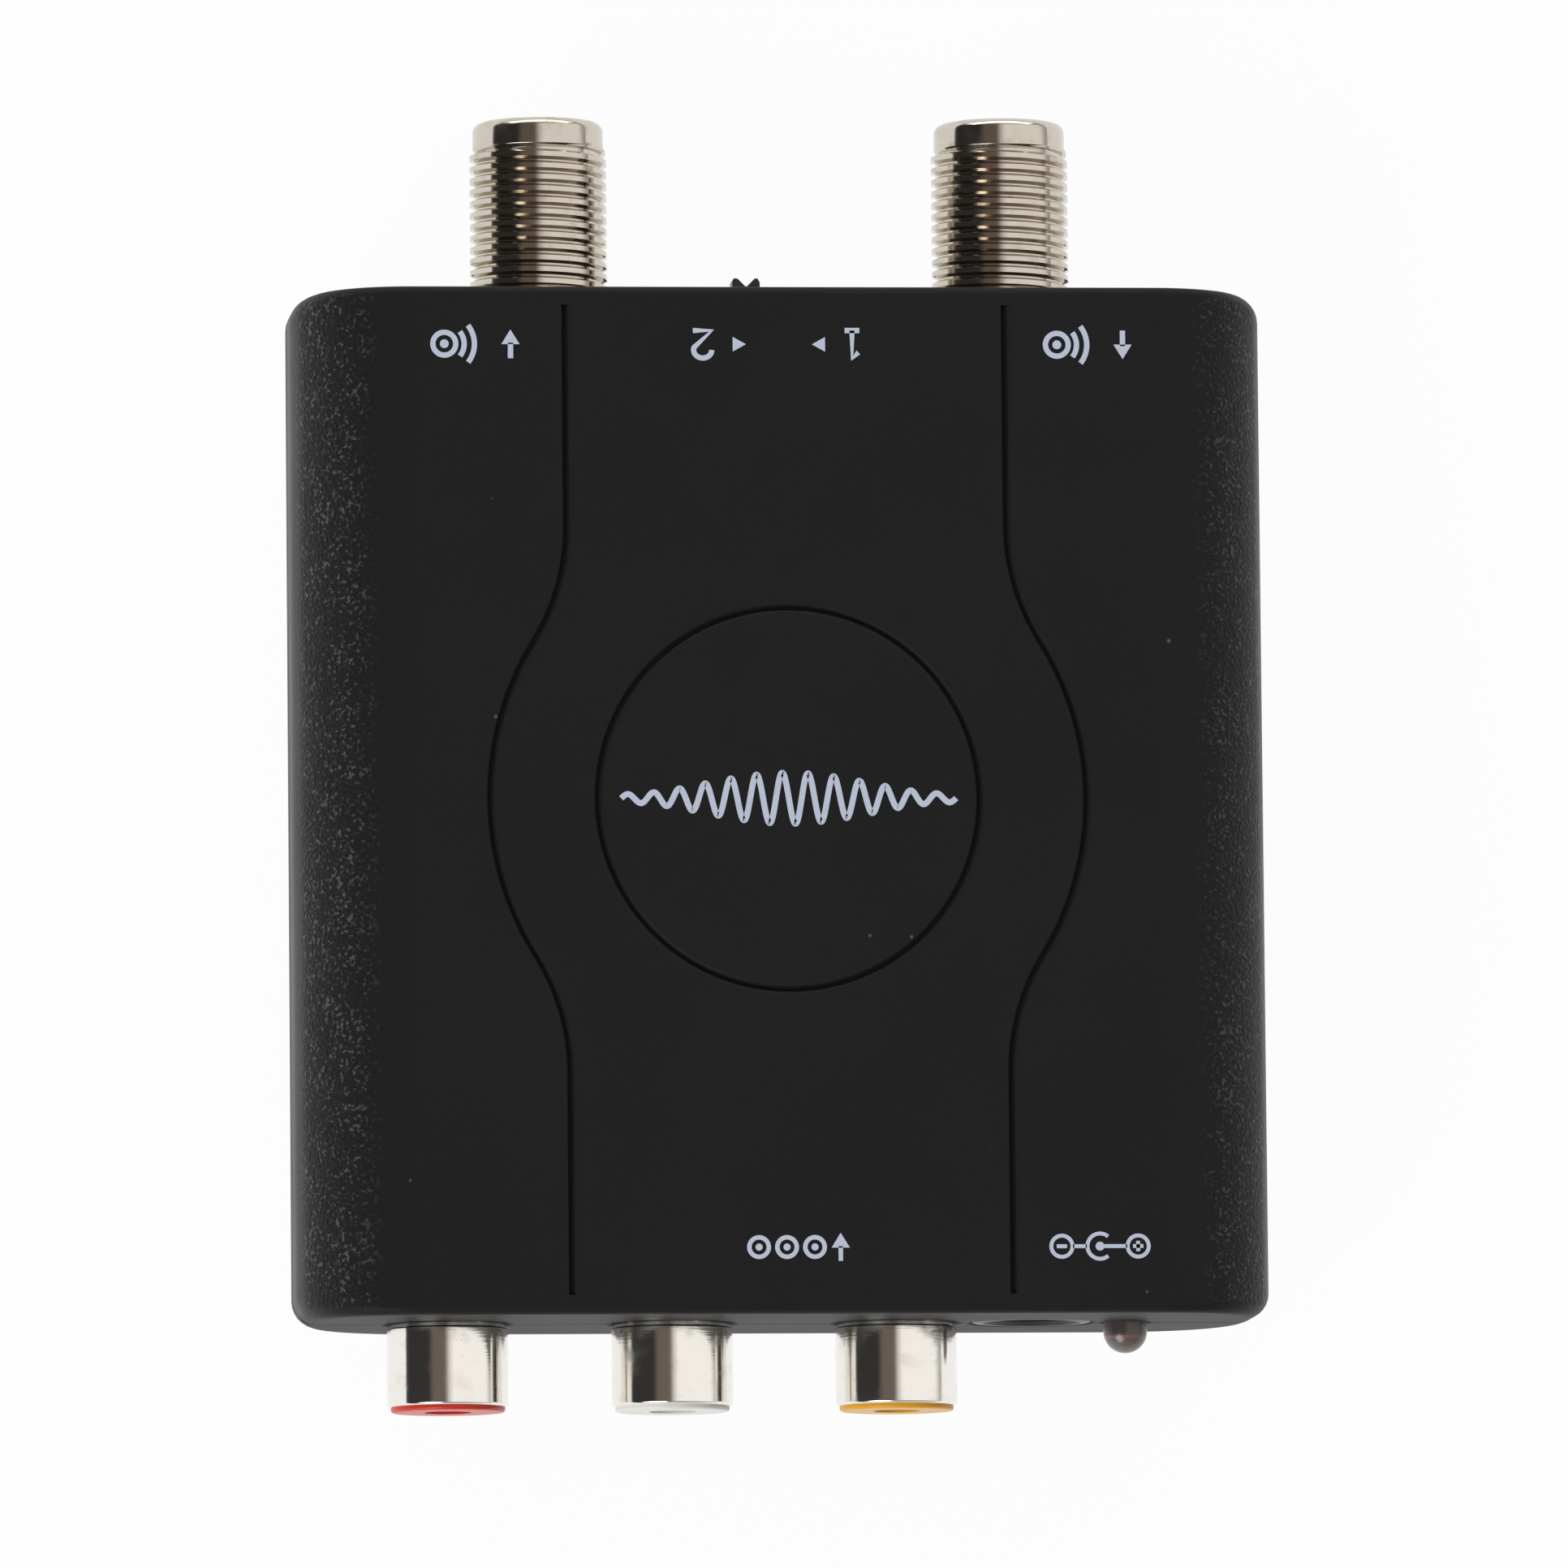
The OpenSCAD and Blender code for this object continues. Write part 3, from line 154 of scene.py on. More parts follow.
class Signal:
    """An output socket with operators: sums on it add Math or Vector Math nodes."""

    def __init__(self, graph: Graph, socket: bpy.types.NodeSocket) -> None:
        """Keeps the tree and the socket."""
        self.graph = graph
        self.socket = socket

    def join(self, operation: str, reflected: bool, other: Any) -> "Signal":
        """Adds the node of one sum.

        Args:
            operation: The Math operation's name.
            reflected: True where the other operand comes first.
            other: The other operand, a signal or a number.

        Returns:
            The sum's signal.
        """
        vector = "VECTOR" in [s.socket.type for s in (self, other) if isinstance(s, Signal)]
        if vector and not isinstance(other, Signal):
            other = (other,) * 3 if isinstance(other, (int, float)) else tuple(other)
        first, second = (other, self) if reflected else (self, other)
        kind = "ShaderNodeVectorMath" if vector else "ShaderNodeMath"
        return self.graph.signal(kind, {"operation": operation}, {0: first, 1: second})

    __add__, __radd__ = partialmethod(join, "ADD", False), partialmethod(join, "ADD", True)
    __sub__, __rsub__ = partialmethod(join, "SUBTRACT", False), partialmethod(join, "SUBTRACT", True)
    __mul__, __rmul__ = partialmethod(join, "MULTIPLY", False), partialmethod(join, "MULTIPLY", True)
    __truediv__, __rtruediv__ = partialmethod(join, "DIVIDE", False), partialmethod(join, "DIVIDE", True)
    __mod__ = partialmethod(join, "FLOORED_MODULO", False)
    __rmod__ = partialmethod(join, "FLOORED_MODULO", True)
    larger, smaller = partialmethod(join, "MAXIMUM", False), partialmethod(join, "MINIMUM", False)

    def __abs__(self) -> "Signal":
        """Returns the value without its sign."""
        return self.graph.signal("ShaderNodeMath", {"operation": "ABSOLUTE"}, {0: self})

    def root(self) -> "Signal":
        """Returns the square root."""
        return self.graph.signal("ShaderNodeMath", {"operation": "SQRT"}, {0: self})

    def step(self, low: float, high: float) -> "Signal":
        """Rises smoothly from 0 at low to 1 at high, or falls where high is the lower one.

        Args:
            low: The value that gives 0.
            high: The value that gives 1.

        Returns:
            The mask.
        """
        first, last, top = (low, high, 1.0) if low < high else (high, low, 0.0)
        feeds = {0: self, 1: first, 2: last, 3: 1.0 - top, 4: top}
        kind = {"interpolation_type": "SMOOTHSTEP", "clamp": True}
        return self.graph.signal("ShaderNodeMapRange", kind, feeds)

    def between(self, low: float, high: float, soft: float) -> "Signal":
        """Is 1 between two values and 0 outside them, with soft ends."""
        return self.step(low - soft, low + soft) * self.step(high + soft, high - soft)

    def parts(self) -> tuple["Signal", "Signal", "Signal"]:
        """Returns a vector's X, Y and Z."""
        split = self.graph.node("ShaderNodeSeparateXYZ", None, {0: self})
        return tuple(Signal(self.graph, o) for o in split.outputs)


class Paint(Graph):
    """A material's tree, with the patterns that the finishes are made from."""

    def __init__(self, name: str) -> None:
        """Makes an empty material with an output node.

        Args:
            name: The material's name.
        """
        self.material = bpy.data.materials.new(name)
        self.material.use_nodes = True
        self.material.node_tree.nodes.clear()
        super().__init__(self.material.node_tree)
        self.output = self.node("ShaderNodeOutputMaterial")
        self.place = self.signal("ShaderNodeTexCoord", output="Object")

    def noise(self, grain: float, detail: float = 3.0, stretch: Triple = (1, 1, 1)) -> Signal:
        """Returns cloudy noise, 0 to 1, whose clouds have a size in mm and are finer by a stretch."""
        feeds = {"Vector": self.place * stretch, "Scale": 1 / (grain * MM), "Detail": detail}
        return self.signal("ShaderNodeTexNoise", None, feeds)

    def cells(self, grain: float, feature: str = "F1", evenness: float = 0.0) -> Signal:
        """Returns a distance, as a share of the cells' size in mm. Their evenness is 0 to 1."""
        feeds = {"Vector": self.place, "Scale": 1 / (grain * MM), "Randomness": 1.0 - evenness}
        return self.signal("ShaderNodeTexVoronoi", {"feature": feature}, feeds)

    def bump(self, height: Signal, depth: float, below: Signal | None = None) -> Signal:
        """Tilts the surface by a height pattern.

        Args:
            height: The pattern, 0 to 1.
            depth: The height of a full step, in millimetres.
            below: A coarser bump that lies under this one.

        Returns:
            The new normal.
        """
        feeds: Feeds = {"Strength": 1.0, "Distance": depth * MM, "Height": height}
        if below is not None:
            feeds["Normal"] = below
        return self.signal("ShaderNodeBump", None, feeds)

    def surface(self, shader: bpy.types.Node) -> bpy.types.Material:
        """Ends the tree in a shader and returns the material."""
        self.tree.links.new(shader.outputs[0], self.output.inputs["Surface"])
        return self.material


@dataclass(frozen=True)
class Finish:
    """A named surface finish. Each kind builds its own material, once."""

    name: str
    colour: Colour

    @property
    def slot(self) -> str:
        """Returns the record's material slot that the finish is named after."""
        return self.name.replace(" ", "_")

    def build(self, paint: Paint) -> Feeds:
        """Draws the finish's patterns.

        Args:
            paint: The material's tree.

        Returns:
            What each socket of the surface shader gets.
        """
        raise NotImplementedError

    def material(self) -> bpy.types.Material:
        """Finds the finish's material, or makes it on its first use.

        Returns:
            The material.
        """
        found = bpy.data.materials.get(self.name)
        if found:
            return found
        paint = Paint(self.name)
        made = paint.surface(paint.node("ShaderNodeBsdfPrincipled", None, self.build(paint)))
        made.diffuse_color = (*self.colour, 1.0)
        return made


@dataclass(frozen=True)
class CasePlastic(Finish):
    """Matt black moulded plastic: smooth on its flat faces, spark-etched on its curved sides."""

    smooth_half: float = 27.2
    etched_half: float = 30.2
    flank_half: float = 32.5
    edge_half: float = 33.1
    end_start: float = 33.9
    end_half: float = 34.8
    etch_grain: float = 0.28
    etch_depth: float = 0.12
    # Lighter colour of the grain's peaks: partly worn peaks, mostly a painted sheen standing in for the
    # sparkle of lit grain.
    peak_sheen_colour: Colour = srgb(92, 92, 98)
    speck: Colour = srgb(120, 118, 116)

    def build(self, paint: Paint) -> Feeds:
        """Draws the etched grain of the curved sides, with a painted sheen on its peaks, faint clouds and a
        few pale specks.

        Args:
            paint: The material's tree.

        Returns:
            What each socket of the surface shader gets.
        """
        across, along, _ = paint.place.parts()
        side = abs(across).step(self.smooth_half * MM, self.etched_half * MM)
        flank = abs(across).step(self.edge_half * MM, self.flank_half * MM)
        end = abs(along - ORIGIN.y).step(self.end_start * MM, self.end_half * MM)
        etched = side * flank * (1.0 - end)
        clouds, fine = paint.noise(9.0, 4.0), paint.noise(0.12, 2.0)
        pits = paint.cells(self.etch_grain, "SMOOTH_F1")
        grain = paint.noise(self.etch_grain, 3.0)
        # Mask of the grain's peaks: they get the painted sheen colour and a lower roughness.
        sheen_peaks = (grain * 0.8 + paint.noise(1.8, 2.0) * 0.2).step(0.54, 0.66)
        specks = paint.cells(5.5).step(0.035, 0.02)
        tone = paint.blend(clouds * 0.4, self.colour, shade(self.colour, 0.72))
        # Painted sheen: the etched grain's peaks are lightened, partly as wear and mostly as a painted
        # highlight.
        tone = paint.blend(sheen_peaks * etched * 0.75, tone, self.peak_sheen_colour)
        relief = (pits * 0.5 + grain * 1.4) * etched
        rough = 0.5 + fine * 0.06 - etched * (0.08 + sheen_peaks * 0.12) + (clouds - 0.5) * 0.08
        return {
            "Base Color": paint.blend(specks * 0.5, tone, self.speck),
            "Roughness": rough - (1.0 - flank) * 0.12,
            "Specular IOR Level": 0.15,
            "Normal": paint.bump(relief, self.etch_depth, paint.bump(fine, 0.0012)),
        }


@dataclass(frozen=True)
class Plating(Finish):
    """Bright plated metal with faint turning marks, a warm tarnish and small pits."""

    tarnish: Colour
    roughness: float
    lines: float = 0.08
    tarnished: float = 0.5
    line_way: Triple = (0.05, 1.0, 0.05)

    def build(self, paint: Paint) -> Feeds:
        """Draws stains, turning lines and small pits.

        Args:
            paint: The material's tree.

        Returns:
            What each socket of the surface shader gets.
        """
        stains = paint.noise(1.6, 4.0).step(0.5, 0.78)
        lines = paint.noise(self.lines, 2.0, self.line_way)
        pits = paint.cells(0.5).step(0.12, 0.04)
        tone = paint.blend(stains * self.tarnished, self.colour, self.tarnish)
        return {
            "Base Color": paint.blend(pits * 0.35, tone, shade(self.tarnish, 0.3)),
            "Metallic": 1.0,
            "Roughness": self.roughness + stains * 0.16 + pits * 0.2,
            "Normal": paint.bump(stains, 0.004, paint.bump(lines, 0.0022)),
        }


@dataclass(frozen=True)
class MouldedPlastic(Finish):
    """Plain moulded plastic with a faint mottle, flow lines and a soft grain."""

    roughness: float
    grain: float = 0.3
    depth: float = 0.006
    mottle: float = 0.25

    def build(self, paint: Paint) -> Feeds:
        """Draws flow lines, a mottle and a soft grain.

        Args:
            paint: The material's tree.

        Returns:
            What each socket of the surface shader gets.
        """
        flow = paint.noise(1.2, 3.0, (0.4, 1.0, 3.0)).step(0.55, 0.8)
        grain = paint.noise(self.grain, 3.0)
        mottle = paint.noise(3.0, 4.0) * self.mottle
        tone = paint.blend(mottle, self.colour, shade(self.colour, 0.6))
        return {
            "Base Color": paint.blend(flow * self.mottle, tone, shade(self.colour, 1.25)),
            "Roughness": self.roughness + (grain - 0.5) * 0.15,
            "Normal": paint.bump(grain, self.depth),
        }


@dataclass(frozen=True)
class Rubber(Finish):
    """Soft black rubber, dusty where it has stood."""

    dust: Colour = srgb(92, 89, 85)

    def build(self, paint: Paint) -> Feeds:
        """Draws a fine grain, and dust that is thicker near the floor.

        Args:
            paint: The material's tree.

        Returns:
            What each socket of the surface shader gets.
        """
        dust = paint.noise(0.35, 4.0).step(0.4, 0.8)
        height = paint.place.parts()[2].step(0.5 * MM, 0.1 * MM)
        return {
            "Base Color": paint.blend(dust * (0.1 + height * 0.2), self.colour, self.dust),
            "Roughness": 0.8 + dust * 0.1,
            "Specular IOR Level": 0.3,
            "Normal": paint.bump(paint.noise(0.12, 3.0) + dust * 0.5, 0.01),
        }


@dataclass(frozen=True)
class Laminate(Finish):
    """A board's green mask over copper tracks, with the bare laminate on its cut edges."""

    track: Colour = srgb(28, 92, 48)
    edge: Colour = srgb(176, 160, 104)
    under: float = 3.25
    top: float = 4.75

    def build(self, paint: Paint) -> Feeds:
        """Draws tracks and weave under the mask, and the bare cut edges.

        Args:
            paint: The material's tree.

        Returns:
            What each socket of the surface shader gets.
        """
        high = paint.place.parts()[2] - ORIGIN.z
        inside = high.between(self.under * MM, self.top * MM, 0.02 * MM)
        tracks = paint.cells(3.4, "DISTANCE_TO_EDGE", 0.45).step(0.11, 0.07)
        weave = paint.noise(0.35, 2.0, (1.0, 4.0, 1.0)) + paint.noise(0.35, 2.0, (4.0, 1.0, 1.0))
        mask = paint.blend(tracks, self.colour, self.track)
        mask = paint.blend(paint.noise(4.0) * 0.3, mask, shade(self.colour, 0.6))
        return {
            "Base Color": paint.blend(inside, mask, self.edge),
            "Roughness": 0.28 + inside * 0.45,
            "Coat Weight": 0.4 - inside * 0.4,
            "Coat Roughness": 0.12,
            "Normal": paint.bump(tracks + weave * 0.12, 0.03),
        }


@dataclass(frozen=True)
class LampResin(Finish):
    """Smoky lens resin: a dark barrel with a pinkish ring below a duller dome."""

    ring: Colour = srgb(150, 104, 100)
    dome: Colour = srgb(104, 92, 88)
    barrel_end: float = -36.0

    def build(self, paint: Paint) -> Feeds:
        """Draws the dull dome, the ring below it and a haze.

        Args:
            paint: The material's tree.

        Returns:
            What each socket of the surface shader gets.
        """
        along = paint.place.parts()[1] - ORIGIN.y
        past = along.step((self.barrel_end + 0.35) * MM, (self.barrel_end - 0.35) * MM)
        line = along.between((self.barrel_end - 0.14) * MM, (self.barrel_end + 0.06) * MM, 0.06 * MM)
        haze = paint.noise(0.5, 3.0)
        tone = paint.blend(line * 0.8, paint.blend(past, self.colour, self.dome), self.ring)
        return {
            "Base Color": paint.blend(haze * 0.25, tone, shade(self.colour, 0.5)),
            "Roughness": 0.22 + haze * 0.2,
            "Subsurface Weight": 0.2,
            "Subsurface Radius": (0.002, 0.001, 0.0008),
            "Subsurface Scale": 0.4,
            "Coat Weight": 0.5,
            "Coat Roughness": 0.1,
            "Normal": paint.bump(haze, 0.004),
        }


@dataclass(frozen=True)
class PrintInk(Finish):
    """Pale blue-grey printed ink, a little worn and grainy at its edges."""

    worn: Colour = srgb(150, 158, 176)

    def build(self, paint: Paint) -> Feeds:
        """Draws worn patches and a fine grain.

        Args:
            paint: The material's tree.

        Returns:
            What each socket of the surface shader gets.
        """
        worn = paint.noise(0.5, 4.0).step(0.5, 0.85)
        grain = paint.noise(0.07, 2.0)
        return {
            "Base Color": paint.blend(worn * 0.22 + grain * 0.08, self.colour, self.worn),
            "Roughness": 0.55 + grain * 0.1,
            "Specular IOR Level": 0.3,
            "Normal": paint.bump(grain, 0.002),
        }


@dataclass(frozen=True)
class ChipPart(Finish):
    """A small part on the board: a coloured middle between two tinned ends."""

    tin: Colour = srgb(196, 196, 192)
    first: float = -14.5
    pitch: float = 3.0
    middle_half: float = 0.5

    def build(self, paint: Paint) -> Feeds:
        """Draws the tinned ends beside each coloured middle, and faint clouds.

        Args:
            paint: The material's tree.

        Returns:
            What each socket of the surface shader gets.
        """
        across = paint.place.parts()[0] - (self.first - self.pitch / 2) * MM
        local = (across % (self.pitch * MM)) - self.pitch / 2 * MM
        ends = abs(local).step(self.middle_half * MM, (self.middle_half + 0.04) * MM)
        clouds = paint.noise(0.6, 3.0)
        middle = paint.blend(clouds * 0.3, self.colour, shade(self.colour, 0.6))
        return {
            "Base Color": paint.blend(ends, middle, self.tin),
            "Metallic": ends * 0.9,
            "Roughness": 0.5 - ends * 0.15 + clouds * 0.1,
            "Normal": paint.bump(clouds, 0.01),
        }


@dataclass(frozen=True)
class CanSleeve(Finish):
    """A capacitor's printed sleeve with its pale stripe, and the bare can showing on top."""

    middles: tuple[float, ...]
    middle_y: float = -18.9
    foot: float = 4.7
    top: float = 11.3
    radius: float = 2.5
    stripe: Colour = srgb(190, 196, 206)
    metal: Colour = srgb(205, 206, 208)

    def build(self, paint: Paint) -> Feeds:
        """Draws each sleeve's stripe, and the bare metal above and below it.

        Args:
            paint: The material's tree.

        Returns:
            What each socket of the surface shader gets.
        """
        across, along, up = paint.place.parts()
        dy = along - (ORIGIN.y + self.middle_y * MM)
        lids: list[Signal] = []
        stripes: list[Signal] = []
        for x in self.middles:
            dx = across - x * MM
            reach = (dx * dx + dy * dy).root()
            sleeve = reach.step((self.radius + 0.3) * MM, (self.radius + 0.2) * MM)
            lids.append(reach.step((self.radius - 0.45) * MM, (self.radius - 0.55) * MM))
            stripes.append(dx.step(self.radius * 0.72 * MM, self.radius * 0.76 * MM) * sleeve)
        lid, stripe = reduce(Signal.larger, lids), reduce(Signal.larger, stripes)
        high = (up - ORIGIN.z).step((self.top - 0.3) * MM, (self.top - 0.2) * MM)
        low = (up - ORIGIN.z).step(self.foot * MM, (self.foot - 0.1) * MM)
        bare = (lid * high).larger(low)
        clouds = paint.noise(0.8, 3.0)
        tone = paint.blend(stripe * (1.0 - high), self.colour, self.stripe)
        tone = paint.blend(clouds * 0.2, tone, shade(self.colour, 0.6))
        return {
            "Base Color": paint.blend(bare, tone, self.metal),
            "Metallic": bare,
            "Roughness": 0.34 + clouds * 0.12,
            "Normal": paint.bump(clouds, 0.008),
        }


@dataclass(frozen=True)
class FinishSet:
    """Every finish on the modulator."""

    upper: Finish = CasePlastic("upper case plastic", srgb(27, 27, 28))
    lower: Finish = CasePlastic("lower case plastic", srgb(26, 26, 27))
    screw: Finish = Plating("zinc screw steel", srgb(188, 190, 194), srgb(130, 120, 96), 0.3)
    rubber: Finish = Rubber("foot rubber", srgb(30, 30, 30))
    board: Finish = Laminate("board laminate", srgb(18, 70, 38))
    nickel: Finish = Plating("socket nickel", srgb(206, 198, 186), srgb(132, 113, 96), 0.1, 0.08, 0.3)
    sleeve: Finish = Plating("sleeve nickel", srgb(240, 237, 231), srgb(186, 170, 152), 0.1, 0.12, 0.15)
    insulator: Finish = MouldedPlastic("white insulator", srgb(226, 222, 208), 0.45)
    brass: Finish = Plating("contact brass", srgb(214, 180, 104), srgb(150, 112, 60), 0.24)
    housing: Finish = MouldedPlastic("housing plastic", srgb(34, 34, 36), 0.5)
    red: Finish = MouldedPlastic("red plastic", srgb(206, 44, 22), 0.35, mottle=0.15)
    white: Finish = MouldedPlastic("white plastic", srgb(234, 232, 226), 0.35, mottle=0.1)
    yellow: Finish = MouldedPlastic("yellow plastic", srgb(232, 168, 24), 0.35, mottle=0.15)
    power: Finish = MouldedPlastic("power plastic", srgb(24, 24, 25), 0.38)
    pin: Finish = Plating("pin nickel", srgb(220, 218, 212), srgb(150, 140, 120), 0.14)
    lamp: Finish = LampResin("lamp resin", srgb(72, 64, 60))
    lead: Finish = Plating("tinned lead", srgb(206, 206, 202), srgb(150, 148, 140), 0.3)
    switch_steel: Finish = Plating("switch steel", srgb(196, 196, 194), srgb(140, 130, 110), 0.28)
    switch_board: Finish = MouldedPlastic("switch laminate", srgb(150, 96, 48), 0.6, depth=0.012)
    knob: Finish = MouldedPlastic("knob plastic", srgb(25, 24, 26), 0.4, 0.16, 0.01)
    screen: Finish = Plating("screen steel", srgb(206, 208, 206), srgb(150, 150, 140), 0.26, 0.3)
    chip: Finish = MouldedPlastic("chip plastic", srgb(36, 36, 38), 0.6, 0.1, 0.01)
    crystal: Finish = Plating("crystal steel", srgb(212, 212, 210), srgb(160, 156, 140), 0.22)
    ferrite: Finish = MouldedPlastic("coil ferrite", srgb(96, 60, 44), 0.7, 0.2, 0.02, 0.4)
    ceramic: Finish = ChipPart("capacitor ceramic", srgb(176, 140, 96))
    film: Finish = ChipPart("resistor film", srgb(28, 28, 30))
    can: Finish = CanSleeve("capacitor sleeve", srgb(24, 32, 64), (-14.5, -8.5, -2.5, 3.5))
    ink: Finish = PrintInk("print ink", srgb(200, 208, 226))


FINISHES = FinishSet()


def arc(
    middle: Pair, radius: float, first: float, last: float, steps: int, tall: float | None = None
) -> list[Pair]:
    """Returns the points of an arc.

    Args:
        middle: Its middle.
        radius: Its radius. A negative one starts on the other side.
        first: The angle where it starts, in radians.
        last: The angle where it ends.
        steps: Steps from end to end.
        tall: Its radius along the second direction, where that is another one.

    Returns:
        The points, one more than the steps.
    """
    turns = [first + (last - first) * k / steps for k in range(steps + 1)]
    rise = radius if tall is None else tall
    return [(middle[0] + radius * math.cos(a), middle[1] + rise * math.sin(a)) for a in turns]


def drum(radius: float, start: float, end: float) -> list[Pair]:
    """Returns the section line of a plain cylinder between two places on its axis."""
    return [(0, start), (radius, start), (radius, end), (0, end)]


def four(x: float, y: float, z: float = 0.0) -> list[Triple]:
    """Returns the four places at plus and minus x and y."""
    return [(i * x, j * y, z) for i in (-1, 1) for j in (-1, 1)]


def rounded(points: Pairs, radii: Sequence[float] | float, closed: bool, turns: int = 5) -> list[Pair]:
    """Rounds the corners of a flat line.

    Args:
        points: The line's corners.
        radii: The radius at each corner, or one for all. Zero keeps a corner sharp.
        closed: True where the last point joins the first.
        turns: Steps in a right-angled corner's arc.

    Returns:
        The rounded line's points.
    """
    count = len(points)
    sizes = [radii] * count if isinstance(radii, (int, float)) else radii
    out: list[Pair] = []
    for i, (here, size) in enumerate(zip(points, sizes)):
        corner = Vector(here)
        back = Vector(points[i - 1]) - corner
        ahead = Vector(points[(i + 1) % count]) - corner
        at_end = not closed and i in (0, count - 1)
        if at_end or size <= 0 or back.angle(ahead) > math.pi - 0.02:
            out.append(tuple(here))
            continue
        half = back.angle(ahead) / 2
        reach = min(size / math.tan(half), 0.49 * back.length, 0.49 * ahead.length)
        inwards = (back.normalized() + ahead.normalized()).normalized()
        middle = corner + inwards * (reach * math.tan(half) / math.sin(half))
        start = corner + back.normalized() * reach - middle
        end = corner + ahead.normalized() * reach - middle
        sweep = math.atan2(start.x * end.y - start.y * end.x, start.dot(end))
        steps = max(1, round(turns * abs(sweep) / QUARTER))
        for k in range(steps + 1):
            out.append(tuple(middle + Matrix.Rotation(sweep * k / steps, 2) @ start))
    return out


@contextmanager
def opened(mesh: bpy.types.Mesh) -> Iterator[bmesh.types.BMesh]:
    """Opens a mesh for edits and writes them back at the end.

    Args:
        mesh: The mesh.

    Yields:
        What the edits are made on.
    """
    edits = bmesh.new()
    edits.from_mesh(mesh)
    yield edits
    edits.to_mesh(mesh)
    edits.free()


class Shape:
    """Closed forms gathered in millimetres in the case's frame, which end as one mesh."""

    def __init__(self) -> None:
        """Starts with nothing in it."""
        self.points: list[Triple] = []
        self.faces: list[list[int]] = []

    def add(self, points: Iterable[Sequence[float]], faces: Iterable[Sequence[int]]) -> "Shape":
        """Adds a form.

        Args:
            points: The form's points.
            faces: Its faces, as places in those points.

        Returns:
            The shape itself.
        """
        base = len(self.points)
        self.points += [tuple(p) for p in points]
        self.faces += [[base + i for i in f] for f in faces]
        return self

    @staticmethod
    def skin(count: int, size: int, closed: bool = False) -> list[list[int]]:
        """Returns the faces between neighbouring rings.

        Args:
            count: The count of rings.
            size: Points in a ring.
            closed: True where the last ring joins the first.

        Returns:
            The faces, as places in the rings' points.
        """
        return [
            [here + j, here + (j + 1) % size, there + (j + 1) % size, there + j]
            for here, there in [(i * size, (i + 1) % count * size) for i in range(count - (not closed))]
            for j in range(size)
        ]

    def rings(self, rings: Sequence[Sequence[Triple]], closed: bool = False) -> "Shape":
        """Skins a row of rings with equal counts of points.

        Args:
            rings: The rings, in order.
            closed: True where the last ring joins the first. Otherwise both ends are capped.

        Returns:
            The shape itself.
        """
        size = len(rings[0])
        faces = self.skin(len(rings), size, closed)
        if not closed:
            faces += [list(range(size))[::-1], [(len(rings) - 1) * size + j for j in range(size)]]
        return self.add([p for ring in rings for p in ring], faces)

    def lathe(
        self, line: Pairs, x: float, sides: int = 72, hollow: bool = False, z: float = AXIS
    ) -> "Shape":
        """Turns a line of (radius, y) pairs about an axis along Y.

        Args:
            line: The section's line. A solid one starts and ends at radius zero.
            x: The axis's place across the case.
            sides: Points round the axis.
            hollow: True where the line is a closed loop clear of the axis.
            z: The axis's height.

        Returns:
            The shape itself.
        """
        turns = [math.tau * i / sides for i in range(sides)]
        turned = [
            [(x + r * math.sin(a), y, z + r * math.cos(a)) for a in turns]
            for r, y in (line if hollow else line[1:-1])
        ]
        if hollow:
            return self.rings(turned, closed=True)
        last, pole = (len(turned) - 1) * sides, len(turned) * sides
        points = [p for ring in turned for p in ring] + [(x, line[0][1], z), (x, line[-1][1], z)]
        faces = self.skin(len(turned), sides)
        faces += [[pole, (j + 1) % sides, j] for j in range(sides)]
        faces += [[pole + 1, last + j, last + (j + 1) % sides] for j in range(sides)]
        return self.add(points, faces)

    def post(self, line: Pairs, x: float, y: float, sides: int = 48) -> "Shape":
        """Turns a line of (radius, z) pairs about an upright axis."""
        made = Shape().lathe(line, 0.0, sides, z=0.0)
        return self.add([(x + px, y + pz, py) for px, py, pz in made.points], made.faces)

    def slab(self, outline: Pairs, z0: float, z1: float) -> "Shape":
        """Stands a flat outline of (x, y) pairs up between two heights."""
        return self.rings([[(x, y, z) for x, y in outline] for z in (z0, z1)])

    def block(self, x: float, half: float, y: Pair, z: Pair, edge: float = 0.0) -> "Shape":
        """Adds a box whose edges are rounded.

        Args:
            x: Its middle across the case.
            half: Half of its width.
            y: Where it starts and ends along the case.
            z: Its lowest and its highest height.
            edge: The edges' radius.

        Returns:
            The shape itself.
        """
        low, high = (Vector((x + way * half, y[end], z[end])) for end, way in enumerate((-1, 1)))
        size = high - low
        box = bmesh.new()
        bmesh.ops.create_cube(box, size=1.0)
        bmesh.ops.scale(box, vec=size, verts=box.verts)
        bmesh.ops.translate(box, vec=(low + high) / 2, verts=box.verts)
        if edge > 0:
            round_by = {"offset": min(edge, 0.45 * min(size)), "segments": 2, "profile": 0.5}
            bmesh.ops.bevel(box, geom=box.edges[:], affect="EDGES", **round_by)
        box.verts.index_update()
        self.add([tuple(v.co) for v in box.verts], [[v.index for v in f.verts] for f in box.faces])
        box.free()
        return self

    def mesh(self, name: str) -> bpy.types.Mesh:
        """Makes one mesh of the gathered forms, in the row's frame and with its faces outwards.

        Args:
            name: The mesh's name.

        Returns:
            The mesh.
        """
        made = bpy.data.meshes.new(name)
        made.from_pydata([Vector(p) * MM + ORIGIN for p in self.points], [], self.faces)
        made.update()
        with opened(made) as edits:
            bmesh.ops.recalc_face_normals(edits, faces=edits.faces)
        return made


